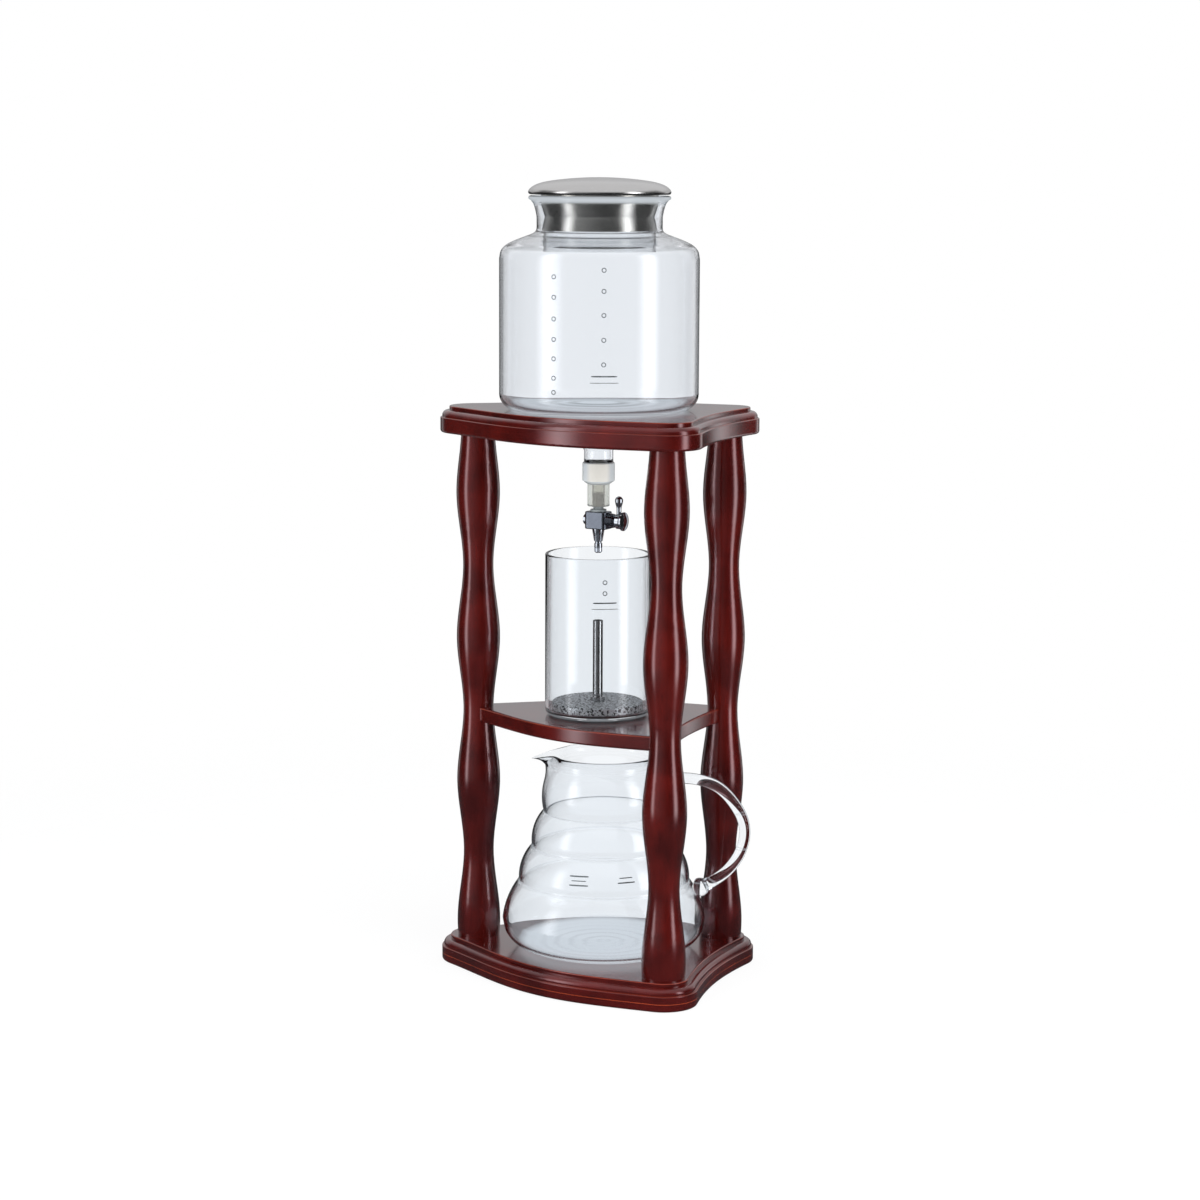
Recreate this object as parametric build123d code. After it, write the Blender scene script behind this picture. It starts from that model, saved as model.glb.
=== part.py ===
"""Cold drip coffee tower.

A three-legged wooden stand holds, from the top down, a lidded glass water jar with a drip cock under
it, a glass strainer with a metal filter on the middle shelf, and a glass server on the base.

All sizes are millimetres. +Z is up, +X runs along the stand's plane of symmetry from the single
leg towards the gap between the leg pair, and the origin is where the drip axis meets the table.
"""
from build123d import *
from math import cos, radians, sin
import os

os.makedirs("parts", exist_ok=True)

# ---------------------------------------------------------------- stand
leg_circle_r = 89.5          # middle of the stand to each leg's axis
stand_offset = 1.8           # the stand's middle, along +X from the drip axis
pair_half_angle = 40.8       # the leg pair stands this far either side of +X, in degrees
nose_corner_r = 25.5         # plate corner round the single leg
pair_corner_r = 23.0         # plate corner round each leg of the pair
flank_angle = 32.4           # the plate's flank leaves the nose corner at this angle to X
flank_swell_1 = (84.0, 19.6)     # along the flank's chord, and out from it
flank_swell_2 = (110.0, 19.5)
back_edge_hollow = 5.6       # depth of the hollow in the edge between the leg pair
back_edge_turn = 10.0        # angle by which the pair's corners run into that edge
outline_steps = 8            # points along each flank when the outline is moved inwards

band_h = 10.5                # the plates' moulding: plain band, bead, raised panel
bead_h = 4.6
panel_h = 2.9
bead_inset = 1.3
panel_inset = 6.2
bead_round = 3.6
band_bottom_round = 2.0
band_top_round = 0.6
panel_round = 0.7
plate_t = band_h + bead_h + panel_h

server_bay_h = 151.3         # base panel to the underside of the shelf
shelf_t = 10.0
strainer_bay_h = 188.3       # shelf to the underside of the top plate
shelf_inset = 20.6           # shelf outline, inwards from the plates' outline
shelf_round = 1.3
hole_round = 0.8             # eased upper edge of the holes in the top plate and the shelf
housing_gap = 0.08           # round the shelf's corner in the leg's notch
clear_cut = 1.0              # a cutter runs past the face that it opens by this

leg_bulge_r = 14.8
leg_waist_r = 10.3
leg_top_r = 11.4
leg_foot_r = 14.4
leg_top_flare = 0.05         # the leg widens at this slope below the top plate
leg_foot_taper = 0.08        # and closes in at this one above the base
first_bulge_drop = 40.7      # underside of the top plate to the first bulge
last_bulge_rise = 10.1       # base panel to the last bulge
wave_count = 4               # bulges, evenly spaced between those two

jar_hole_gap = 2.2           # round the jar's outlet in the top plate
strainer_hole_gap = 2.0      # round the strainer's drain in the shelf

# ---------------------------------------------------------------- stand fasteners
screw_r = 2.5
screw_head_r = 4.8
screw_recess = 1.0           # head below the base's underside
screw_socket_r = 1.5
screw_socket_depth = 2.0
screw_reach = 12.0           # into the leg
insert_r = 4.0
insert_len = 13.0
dowel_r = 5.0
dowel_half = 10.0
dowel_room = 0.5             # past each end of the dowel
shelf_dowel_r = 2.5
shelf_dowel_in_leg = 6.0
shelf_dowel_in_shelf = 10.0
dowel_gap = 0.05
screw_gap = 0.2

# ---------------------------------------------------------------- water jar and lid
jar_r = 66.5
jar_wall = 1.9
jar_floor_t = 2.6
jar_foot_rise = 1.0          # the floor arches by this inside its contact ring
jar_foot_w = 1.5             # width of that ring
jar_bottom_round = 11.0
jar_wall_h = 100.0           # foot to the start of the shoulder
jar_neck_r = 41.6
jar_neck_h = 118.5           # foot to the bottom of the neck
jar_mouth_flare = 2.2        # neck to mouth, and mouth to the lip's edge
jar_lip_w = 3.4
jar_h = 141.6                # foot to the top of the lip
jar_lip_t = 2.4
jar_lip_ease = 0.6
jar_lip_roll = 4.0           # depth of the rounding inside the mouth
jar_neck_straight = 9.0      # neck's bottom to where its flare begins
jar_neck_ease = 0.1          # the neck opens by this along that height
jar_shoulder_rise = 0.29     # slope at which the shoulder runs into the neck
jar_shoulder_fullness = 1.25
jar_foot_drop = 1.0          # the outlet's corner with the floor is drawn down by this
jar_foot_draw = 2.0          # and out by this
outlet_stub_r = 8.2          # the jar's outlet, where the silicone joint grips it
outlet_stub_len = 11.0
outlet_shoulder = 1.6        # from the stub out to the neck, and from the neck to the wide outlet
outlet_drop = 24.0           # foot to the end of the wide outlet
outlet_neck_drop = 35.0      # foot to the shoulder that meets the silicone joint
outlet_wall = 1.7
outlet_step = 3.0            # height of the step from the wide outlet to its neck
outlet_dish = 3.0            # the floor dips into the outlet by this

lid_setback = 0.2            # lid's edge inside the glass lip's edge
lid_crown_h = 8.2
lid_rim_h = 3.6
lid_sheet = 1.0
lid_seat_gap = 0.3           # lid edge above the glass lip
lid_rim_taper = 0.6
lid_bend = (0.72, 0.49)      # where the dome turns down: shares of its radius and of its rise
collar_tuck = 0.6            # collar's top below the dome's edge
collar_top_gap = 0.8         # neck's inner wall to the collar's top, waist and foot
collar_waist_gap = 3.5
collar_foot_gap = 1.5
collar_top_drop = 4.4        # lip top to the collar's visible top
collar_waist_drop = 13.2
collar_foot_drop = 23.0
collar_sheet = 0.8
seal_t = 2.2
seal_reach_gap = 0.25        # seal edge to the neck's inner wall
seal_skirt_gap = 2.3         # neck's inner wall to the skirt
seal_skirt_h = 12.0
seal_wall = 1.6

# ---------------------------------------------------------------- silicone joint and drip cock
joint_wall = 2.6             # round the jar's glass stub
joint_h = 12.3
joint_taper_h = 2.4
joint_low_wall = 4.0         # round the stem
joint_low_h = 15.0
joint_grip_gap = 0.05        # silicone bore round the glass stub
joint_pocket_room = 1.4      # air in that bore under the stub
soft_edge = 0.6              # eased edges of the joint, stem and nozzle
stem_r = 3.4
stem_in_joint = 9.5
stem_flange_r = 5.4
stem_flange_t = 1.4
stem_bare = 2.0              # silicone foot to the flange
stem_bore_r = 1.8
spigot_r = 2.6
spigot_len = 2.0
spigot_gap = 0.05
spigot_room = 0.1            # past the spigot's end

spindle_angle = -8.0         # the lever side points this far from +X, in degrees
block_len = 16.0
block_depth = 11.6
block_h = 11.8
block_round = 2.4
block_edge_round = 0.8
boss_bite = 0.5              # the boss runs into the block by this
boss_len = 4.2
boss_r = 5.4
boss_tip_r = 4.6
plug_big_r = 3.9
plug_small_r = 3.2
plug_gap = 0.08
plug_flow_r = 1.5
plug_stub_r = 1.6
plug_washer_t = 0.6
plug_washer_r = 3.4
plug_washer_gap = 0.05
plug_cap_r = 3.6
plug_cap_t = 1.6
plug_cap_ease = 0.4
cap_slot_w = 0.8
cap_slot_depth = 0.6
hub_gap = 0.4
hub_neck_r = 3.2
hub_r = 5.2
hub_len = 5.6
hub_swell_len = 2.2          # from the neck out to the barrel
hub_step = 0.5               # depth of the groove before the disc
hub_groove = (0.8, 0.4)      # before the disc: where the barrel turns in, and the groove's start
knob_r = 6.3
knob_t = 2.6
knob_crown_h = 1.1
knob_crown_bend = (0.62, 0.3)    # share of the radius, and drop below the crown
lever_offset = 0.3           # lever's axis past the barrel's middle
lever_root_rise = 2.0        # spindle to the bottom of the lever's hole
lever_root_gap = 0.05
lever_side_gap = 0.02
lever_neck_rise = 8.2        # spindle to where the lever begins to swell
lever_neck_r = 1.65
lever_head_r = 2.75
lever_len = 16.8             # spindle axis to the lever's tip
nozzle_top_r = 4.2
nozzle_mid_r = 2.9
nozzle_tip_r = 2.7
nozzle_cone_h = 8.2
nozzle_len = 16.2
nozzle_bore_r = 1.3
nozzle_tip_ease = 0.9
nozzle_groove = (0.5, 1.2, 1.6)      # below the cone: the groove's top, its foot and its outer edge
nozzle_groove_depth = 0.5

# ---------------------------------------------------------------- strainer and filter
strainer_r = 35.6
strainer_wall = 1.8
strainer_floor_t = 3.0
strainer_h = 110.0
strainer_bottom_round = 4.4
drain_r = 7.0
drain_drop = 13.4            # shelf top to the drain's tip
drain_bore_r = 4.6
drain_tip_h = 2.0            # the drain draws in over this height
drain_tip_in = 1.0
drain_tip_out = 1.2
drain_root = 1.0             # fused corner between the drain and the floor

filter_side_gap = 2.8        # filter to the strainer's inner wall
filter_h = 6.4
filter_base_t = 1.0
filter_base_lip = 0.4
filter_base_w = 3.5
mesh_t = 0.8
mesh_round = 1.2
support_t = 2.0
support_side_gap = 1.6       # support plate to the mesh's side
support_hole_r = 2.2
support_first_ring_r = 10.0
support_ring_pitch = 7.5
tube_r = 3.4
tube_wall = 0.5
tube_h = 54.0                # above the mesh
tube_gap = 0.05
tube_root_r = 5.4            # flared root that holds the support plate up
root_slot_w = 2.2            # drain slots across the root's foot
root_slot_h = 1.3
nut_r = 4.9
nut_h = 3.0
nut_ease = 0.5

# ---------------------------------------------------------------- server
server_angle = 14.0          # the handle points this far from +X, in degrees
server_at = (4.5, 1.8)       # where its middle stands on the base
server_wall = 2.0
server_floor_t = 2.6
server_foot_r = 47.0
server_belly = (69.2, 20.5)      # radius, height above the foot
server_rings = ((58.6, 46.7), (49.8, 70.5), (41.8, 94.7))      # grooves between the rings
server_swells = ((65.2, 34.6), (56.9, 56.0), (48.5, 80.3), (42.4, 106.0))
server_neck = (36.2, 126.0)
server_rim = (37.6, 134.0)
spout_reach = 51.0
spout_r = 9.5
spout_drop = 21.0
spout_root_r = 2.0
spout_root_x = 38.0
handle_r = 3.8
handle_top_h = 120.6         # where the handle leaves the neck
handle_low_h = 40.0          # where it meets the belly
handle_reach = 99.9
handle_far_h = 84.0
handle_blob_r = 5.6
handle_top_in = 1.0          # the rod's ends start inside the flask by these
handle_low_in = 8.0
handle_top_run = (26.0, 6.5)     # along and up from the neck to the rod's highest bend
handle_low_run = (12.0, 16.0)    # back from the far point, and up from the low end
handle_top_blob = (3.5, 0.6)     # drops of glass, out and up from the rod's ends
handle_low_blob = (4.0, 2.4)
server_cut_rise = 1.0        # the hollow is cut this far past the rim

# ---------------------------------------------------------------- fits that follow from the sizes
outlet_neck_r = outlet_stub_r + outlet_shoulder
outlet_r = outlet_neck_r + outlet_shoulder
jar_mouth_r = jar_neck_r + jar_mouth_flare
jar_lip_r = jar_mouth_r + jar_lip_w
jar_hole_r = outlet_r + jar_hole_gap
strainer_hole_r = drain_r + strainer_hole_gap
neck_bore_r = jar_neck_r - jar_wall
lid_r = jar_lip_r - lid_setback
collar_top_r = neck_bore_r - collar_top_gap
collar_waist_r = neck_bore_r - collar_waist_gap
collar_foot_r = neck_bore_r - collar_foot_gap
seal_lip_r = neck_bore_r - seal_reach_gap
seal_skirt_r = neck_bore_r - seal_skirt_gap
joint_r = outlet_stub_r + joint_wall
joint_low_r = stem_r + joint_low_wall
filter_r = strainer_r - strainer_wall - filter_side_gap

# ---------------------------------------------------------------- levels that follow from the sizes
base_top = plate_t
shelf_bottom = base_top + server_bay_h
shelf_top = shelf_bottom + shelf_t
plate_bottom = shelf_top + strainer_bay_h
plate_top = plate_bottom + plate_t
jar_foot = plate_top
lip_top = jar_foot + jar_h
joint_top = jar_foot - outlet_neck_drop
joint_step = joint_top - joint_h
joint_foot = joint_step - joint_taper_h - joint_low_h
flange_top = joint_foot - stem_bare
block_top = flange_top - stem_flange_t
block_bottom = block_top - block_h
spindle_z = block_top - block_h / 2
filter_foot = shelf_top + strainer_floor_t
filter_top = filter_foot + filter_h
server_foot = base_top

leg_points = {
    "leg_left": (stand_offset - leg_circle_r, 0.0),
    "leg_front": (stand_offset + leg_circle_r * cos(radians(pair_half_angle)),
                  -leg_circle_r * sin(radians(pair_half_angle))),
    "leg_back": (stand_offset + leg_circle_r * cos(radians(pair_half_angle)),
                 leg_circle_r * sin(radians(pair_half_angle))),
}
nodes = {}


# ---------------------------------------------------------------- helpers
def turned(*edges):
    """Solid of revolution about Z from edges that close a profile in the XZ plane."""
    return revolve(Face(Wire(list(edges))), Axis.Z, 360)


def rz(*points):
    """Straight profile edges through (radius, height) points."""
    return Polyline(*[(r, 0, z) for r, z in points]).edges()


def arc3(start, middle, end):
    """Profile arc through three (radius, height) points."""
    return ThreePointArc(*[(r, 0, z) for r, z in (start, middle, end)])


def crown_line(*coordinates):
    """Profile curve through (radius, height) pairs that leaves the axis level."""
    points = [(r, 0, z) for r, z in zip(coordinates[::2], coordinates[1::2])]
    slope = (Vector(*points[-1]) - Vector(*points[-2])).normalized()
    return Spline(*points, tangents=[(1, 0, 0), slope])


def tube(outer_r, inner_r, bottom, top):
    """Upright ring or sleeve between two heights."""
    return turned(*rz((inner_r, bottom), (outer_r, bottom), (outer_r, top), (inner_r, top),
                      (inner_r, bottom)))


def upright(x, y, r, bottom, top):
    """Upright round bar at a point."""
    return Pos(x, y, (bottom + top) / 2) * Cylinder(r, top - bottom)


def rim_edges(part, z, low_r=0.0, high_r=1e9):
    """Round edges of a turned part at a height, between two radii."""
    return [e for e in part.edges().filter_by(GeomType.CIRCLE)
            if abs(e.center().Z - z) < 1e-4 and low_r <= e.radius <= high_r]


def at_height(part, z):
    """All edges that lie flat at a height."""
    return [e for e in part.edges() if abs(e.bounding_box().min.Z - z) < 1e-4
            and abs(e.bounding_box().max.Z - z) < 1e-4]


# ---------------------------------------------------------------- plates, shelf and legs
def moved_in(curve, outward_turn, distance):
    """A spline that runs beside a curve: points along it move in along its normal, ends keep their slope."""
    points = []
    for step in range(outline_steps + 1):
        t = step / outline_steps
        slope = curve % t
        points.append(curve @ t - Vector(slope.Y, -slope.X) * outward_turn * distance)
    return Spline(*points, tangents=[curve % 0, curve % 1])


def plate_outline(inwards=0.0):
    """Outline of both plates: a round nose, two swelling flanks and a hollowed back edge.

    Each corner is an arc about a leg's axis, so the margin round every leg stays even. The same
    outline moved inwards gives the bead, the raised panel and the shelf.
    """
    nose = Vector(*leg_points["leg_left"])
    pair = Vector(*leg_points["leg_front"])
    flank_dir = Vector(cos(radians(flank_angle)), -sin(radians(flank_angle)))
    flank_out = Vector(-sin(radians(flank_angle)), -cos(radians(flank_angle)))
    start = nose + flank_out * nose_corner_r
    end = pair + Vector(0, -pair_corner_r)
    chord = (end - start).normalized()
    chord_out = Vector(chord.Y, -chord.X)
    swells = [start + chord * along + chord_out * out for along, out in (flank_swell_1, flank_swell_2)]
    turn = radians(back_edge_turn)
    middle = turn / 2 - radians(45)
    corner_mid, back_start = (pair + Vector(cos(a), sin(a)) * (pair_corner_r - inwards)
                              for a in (middle, turn))

    def side(sign):
        """The flank and corner on one side: 1 is the back leg's side, -1 the front leg's."""
        def at(v):
            return Vector(v.X, -sign * v.Y)

        flank = Spline(*[at(v) for v in (start, *swells, end)], tangents=[at(flank_dir), (1, 0)])
        flank = moved_in(flank, -sign, inwards)
        return [flank, ThreePointArc(flank @ 1, at(corner_mid), at(back_start))]

    edge_start = pair + Vector(cos(turn), sin(turn)) * pair_corner_r
    back = Spline(edge_start, (pair.X + pair_corner_r - back_edge_hollow, 0),
                  Vector(edge_start.X, -edge_start.Y),
                  tangents=[(-sin(turn), cos(turn)), (sin(turn), cos(turn))])
    front_side, back_side = side(-1), side(1)
    nose_arc = ThreePointArc(back_side[0] @ 0, nose - Vector(nose_corner_r - inwards, 0), front_side[0] @ 0)
    return Face(Wire([edge for item in [nose_arc, *front_side, moved_in(back, 1, inwards), *back_side]
                      for edge in item.edges()]))


def moulded_plate(bottom):
    """Stepped plate: plain band, quarter-round bead and a raised panel."""
    band = extrude(plate_outline(), band_h)
    band = fillet(at_height(band, 0), band_bottom_round)
    band = fillet(at_height(band, band_h), band_top_round)
    bead = Pos(0, 0, band_h) * extrude(plate_outline(bead_inset), bead_h)
    bead = fillet(at_height(bead, band_h + bead_h), bead_round)
    panel = Pos(0, 0, band_h + bead_h) * extrude(plate_outline(panel_inset), panel_h)
    panel = fillet(at_height(panel, plate_t), panel_round)
    return Pos(0, 0, bottom) * (band + bead + panel)


def shelf_board(grow=0.0):
    """Plain board with eased edges; grow widens it all round to cut the legs' notches."""
    board = extrude(plate_outline(shelf_inset - grow), shelf_t + 2 * grow)
    board = fillet(at_height(board, 0) + at_height(board, shelf_t + 2 * grow), shelf_round)
    return Pos(0, 0, shelf_bottom - grow) * board


def leg_profile():
    """Half outline of a leg: a wave of bulges and waists between the two plates."""
    first, last = plate_bottom - first_bulge_drop, base_top + last_bulge_rise
    steps = 2 * (wave_count - 1)
    heights = [first + (last - first) * i / steps for i in range(steps + 1)]
    wave = [(leg_waist_r if i % 2 else leg_bulge_r, z) for i, z in enumerate(heights)]
    points = [(leg_top_r, plate_bottom)] + wave + [(leg_foot_r, base_top)]
    slopes = [(leg_top_flare, 0, -1)] + [(0, 0, -1)] * len(wave) + [(-leg_foot_taper, 0, -1)]
    side = Spline(*[(r, 0, z) for r, z in points], tangents=slopes)
    return [side, *rz((leg_foot_r, base_top), (0, base_top), (0, plate_bottom), (leg_top_r, plate_bottom))]


def shelf_dowel(x, y, grow=0.0):
    """Short dowel in line with the drip axis, from inside the leg into the shelf's corner."""
    length = shelf_dowel_in_leg + shelf_dowel_in_shelf + 2 * grow
    inward = Vector(-x, -y).normalized()
    middle = Vector(x, y) + inward * (shelf_dowel_in_shelf - shelf_dowel_in_leg) / 2
    place = Plane(origin=(middle.X, middle.Y, shelf_bottom + shelf_t / 2), z_dir=inward)
    return place * Cylinder(shelf_dowel_r + grow, length)


base = moulded_plate(0)
shelf = shelf_board()
top = moulded_plate(plate_bottom)
top -= upright(0, 0, jar_hole_r, plate_bottom - clear_cut, plate_top + clear_cut)
shelf -= upright(0, 0, strainer_hole_r, shelf_bottom - clear_cut, shelf_top + clear_cut)
shelf = fillet(rim_edges(shelf, shelf_top, high_r=strainer_hole_r), hole_round)
top = fillet(rim_edges(top, plate_top, high_r=jar_hole_r), hole_round)

plain_leg = turned(*leg_profile())
notch = shelf_board(housing_gap)
screw_head_h = screw_head_r - screw_r
screws, inserts, dowels, shelf_dowels = [], [], [], []
for name, (x, y) in leg_points.items():
    leg = Pos(x, y, 0) * plain_leg - notch
    leg -= upright(x, y, insert_r + dowel_gap, base_top - clear_cut, base_top + insert_len + clear_cut)
    leg -= upright(x, y, dowel_r + dowel_gap, plate_bottom - dowel_half - dowel_room,
                   plate_bottom + clear_cut)
    leg -= shelf_dowel(x, y, dowel_gap)
    nodes[name] = leg

    base -= upright(x, y, screw_r + screw_gap, -clear_cut, base_top + clear_cut)
    base -= Pos(x, y, screw_recess / 2) * Cylinder(screw_head_r + screw_gap, screw_recess)
    base -= Pos(x, y, screw_recess + screw_head_h / 2) * Cone(screw_head_r + screw_gap, screw_r + screw_gap,
                                                             screw_head_h)
    screw = upright(x, y, screw_r, screw_recess + screw_head_h, base_top + screw_reach)
    screw += Pos(x, y, screw_recess + screw_head_h / 2) * Cone(screw_head_r, screw_r, screw_head_h)
    hexagon = RegularPolygon(screw_socket_r, 6)
    screw -= Pos(x, y, screw_recess) * extrude(hexagon, screw_socket_depth)
    screws.append(screw)
    inserts.append(Pos(x, y, 0) * tube(insert_r, screw_r + dowel_gap, base_top, base_top + insert_len))

    top -= upright(x, y, dowel_r + dowel_gap, plate_bottom - clear_cut,
                   plate_bottom + dowel_half + dowel_room)
    dowels.append(upright(x, y, dowel_r, plate_bottom - dowel_half, plate_bottom + dowel_half))
    shelf -= shelf_dowel(x, y, dowel_gap)
    shelf_dowels.append(shelf_dowel(x, y))

nodes["base_plate"] = base
nodes["middle_shelf"] = shelf
nodes["top_plate"] = top
nodes["leg_screws"] = Compound(children=screws)
nodes["leg_inserts"] = Compound(children=inserts)
nodes["leg_dowels"] = Compound(children=dowels)
nodes["shelf_dowels"] = Compound(children=shelf_dowels)


# ---------------------------------------------------------------- water jar
def jar_side(inner):
    """Jar profile from the foot to the mouth; inner moves it in by the wall."""
    t = jar_wall if inner else 0.0
    foot = jar_floor_t if inner else 0.0
    corner = jar_bottom_round - t
    z0 = jar_foot + foot
    wall_r = jar_r - t
    floor_end = (wall_r - corner, z0)
    corner_mid = (wall_r - corner * (1 - sin(radians(45))), z0 + corner * (1 - sin(radians(45))))
    corner_end = (wall_r, z0 + corner)
    shoulder = (wall_r, jar_foot + jar_wall_h)
    neck = (jar_neck_r - t, jar_foot + jar_neck_h)
    edges = [arc3(floor_end, corner_mid, corner_end)]
    edges += rz(corner_end, shoulder)
    edges += [Spline((shoulder[0], 0, shoulder[1]), (neck[0], 0, neck[1]),
                     tangents=[(0, 0, 1), (-1, 0, jar_shoulder_rise)],
                     tangent_scalars=[jar_shoulder_fullness] * 2)]
    return edges, floor_end, neck


def water_jar():
    """Blown jar: flared lip, waisted neck, round shoulder and a drawn outlet under the floor."""
    outer, foot_end, neck_out = jar_side(False)
    inner, floor_end, neck_in = jar_side(True)
    mouth_z = lip_top - jar_lip_t
    wide_end = jar_foot - outlet_drop
    stub_top = jar_foot - outlet_neck_drop
    stub_end = stub_top - outlet_stub_len
    lip_in_z = lip_top - jar_lip_roll
    lip_in_r = jar_mouth_r - jar_wall - jar_lip_ease
    neck_line = Spline((neck_out[0], 0, neck_out[1]),
                       (neck_out[0] + jar_neck_ease, 0, neck_out[1] + jar_neck_straight),
                       (jar_mouth_r, 0, mouth_z - jar_lip_t), (jar_lip_r - jar_lip_ease, 0, mouth_z))
    lip = arc3((jar_lip_r - jar_lip_ease, mouth_z), (jar_lip_r, mouth_z + jar_lip_t / 2),
               (jar_lip_r - jar_lip_ease, lip_top))
    inner_neck = Spline((lip_in_r, 0, lip_in_z),
                        (neck_in[0] + jar_neck_ease, 0, neck_in[1] + jar_neck_straight),
                        (neck_in[0], 0, neck_in[1]))
    outline = outer + [neck_line, lip]
    outline += rz((jar_lip_r - jar_lip_ease, lip_top), (jar_mouth_r, lip_top))
    outline += [arc3((jar_mouth_r, lip_top), (lip_in_r + jar_lip_ease, lip_top - jar_lip_roll * 0.3),
                     (lip_in_r, lip_in_z)), inner_neck]
    outline += inner
    wide_in = outlet_r - outlet_wall
    narrow_in = outlet_neck_r - outlet_wall
    stub_in = outlet_stub_r - outlet_wall
    floor_z = floor_end[1]
    outline += rz(floor_end, (wide_in + outlet_dish, floor_z), (wide_in, floor_z - outlet_dish),
                  (wide_in, wide_end + outlet_wall), (narrow_in, wide_end - outlet_step),
                  (narrow_in, stub_top + outlet_wall), (stub_in, stub_top), (stub_in, stub_end),
                  (outlet_stub_r, stub_end), (outlet_stub_r, stub_top), (outlet_neck_r, stub_top),
                  (outlet_neck_r, wide_end - outlet_step), (outlet_r, wide_end),
                  (outlet_r, jar_foot - jar_foot_drop),
                  (outlet_r + jar_foot_draw, jar_foot + jar_foot_rise),
                  (foot_end[0] - jar_foot_w - 2 * jar_foot_rise, jar_foot + jar_foot_rise),
                  (foot_end[0] - jar_foot_w, jar_foot), foot_end)
    return turned(*outline)


def lid_dome():
    """Spun sheet dome with a turned-down rim."""
    edge_z = lip_top + lid_seat_gap
    rim_z = edge_z + lid_rim_h
    crown_z = rim_z + lid_crown_h
    bend = (lid_r * lid_bend[0], rim_z + lid_crown_h * lid_bend[1])
    t = lid_sheet
    edge_r = lid_r - lid_rim_taper
    inside = (lid_r - 1.4 * t, rim_z - 0.2 * t)
    return turned(crown_line(0, crown_z, *bend, lid_r, rim_z),
                  *rz((lid_r, rim_z), (edge_r, edge_z), (edge_r - t, edge_z), inside),
                  crown_line(0, crown_z - t, bend[0], bend[1] - 1.1 * t, *inside),
                  *rz((0, crown_z - t), (0, crown_z)))


def lid_collar():
    """Waisted sheet sleeve under the dome, closed by a flat foot."""
    t = collar_sheet
    inside_top = lip_top + lid_seat_gap + lid_rim_h - collar_tuck
    top_z, waist_z, foot_z = (lip_top - d for d in (collar_top_drop, collar_waist_drop, collar_foot_drop))
    outside = [(0, foot_z), (collar_foot_r, foot_z), (collar_waist_r, waist_z), (collar_top_r, top_z),
               (collar_top_r, inside_top)]
    inside = [(collar_top_r - t, inside_top), (collar_top_r - t, top_z), (collar_waist_r - t, waist_z),
              (collar_foot_r - t, foot_z + t), (0, foot_z + t)]
    return turned(*rz(*outside, *inside, outside[0]))


def lid_seal():
    """Clear silicone seal: a lip that wipes the neck and a skirt below the collar."""
    top_z = lip_top - collar_foot_drop
    return turned(*rz((seal_skirt_r - seal_wall, top_z - seal_skirt_h), (seal_skirt_r, top_z - seal_skirt_h),
                      (seal_skirt_r, top_z - seal_t), (seal_lip_r, top_z - seal_t * 0.6),
                      (seal_lip_r, top_z - seal_t * 0.2),
                      (seal_skirt_r, top_z), (seal_skirt_r - seal_wall, top_z),
                      (seal_skirt_r - seal_wall, top_z - seal_skirt_h)))


nodes["water_jar"] = water_jar()
nodes["lid_dome"] = lid_dome()
nodes["lid_collar"] = lid_collar()
nodes["lid_seal"] = lid_seal()


# ---------------------------------------------------------------- drip cock
def silicone_joint():
    """Stepped sleeve that grips the jar's outlet above and the cock's stem below."""
    step, neck = joint_step, joint_step - joint_taper_h
    grip_r = outlet_stub_r + joint_grip_gap
    grip_end = joint_top - outlet_stub_len - joint_pocket_room
    return turned(*rz((stem_r, joint_foot), (joint_low_r - soft_edge, joint_foot),
                      (joint_low_r, joint_foot + soft_edge), (joint_low_r, neck), (joint_r, step),
                      (joint_r, joint_top - soft_edge), (joint_r - soft_edge, joint_top),
                      (grip_r, joint_top), (grip_r, grip_end), (stem_r, grip_end), (stem_r, joint_foot)))


def cock_stem():
    """Hollow inlet stem with a flange that seats on the block."""
    top_z = joint_foot + stem_in_joint
    foot_z = block_top - spigot_len
    return turned(*rz((stem_bore_r, foot_z), (spigot_r, foot_z), (spigot_r, block_top),
                      (stem_flange_r, block_top), (stem_flange_r, flange_top), (stem_r, flange_top),
                      (stem_r, top_z - soft_edge), (stem_r - soft_edge, top_z), (stem_bore_r, top_z),
                      (stem_bore_r, foot_z)))


def cock_nozzle():
    """Tapered drip nozzle with a grooved tip."""
    top_z, tip_z = block_bottom, block_bottom - nozzle_len
    cone_z = top_z - nozzle_cone_h
    groove_r = nozzle_tip_r - nozzle_groove_depth
    groove_top, groove_foot, groove_edge = (cone_z - drop for drop in nozzle_groove)
    return turned(*rz((nozzle_bore_r, tip_z), (nozzle_tip_r - nozzle_tip_ease, tip_z),
                      (nozzle_tip_r, tip_z + nozzle_tip_ease), (nozzle_tip_r, groove_edge),
                      (groove_r, groove_foot), (groove_r, groove_top), (nozzle_mid_r, cone_z),
                      (nozzle_top_r, top_z - soft_edge), (nozzle_top_r, top_z), (spigot_r, top_z),
                      (spigot_r, top_z + spigot_len), (nozzle_bore_r, top_z + spigot_len),
                      (nozzle_bore_r, tip_z)))


def along_spindle(part):
    """From the spindle's own frame, with +Z along the spindle, to its place in the tower."""
    frame = Plane(origin=(0, 0, spindle_z), x_dir=(0, 0, -1),
                  z_dir=(cos(radians(spindle_angle)), sin(radians(spindle_angle)), 0))
    return frame * part


def plug_r(s):
    """Radius of the tapered plug at a place along the spindle, from the block's middle."""
    left, right = -block_len / 2, block_len / 2 + boss_len
    return plug_small_r + (plug_big_r - plug_small_r) * (s - left) / (right - left)


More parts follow.
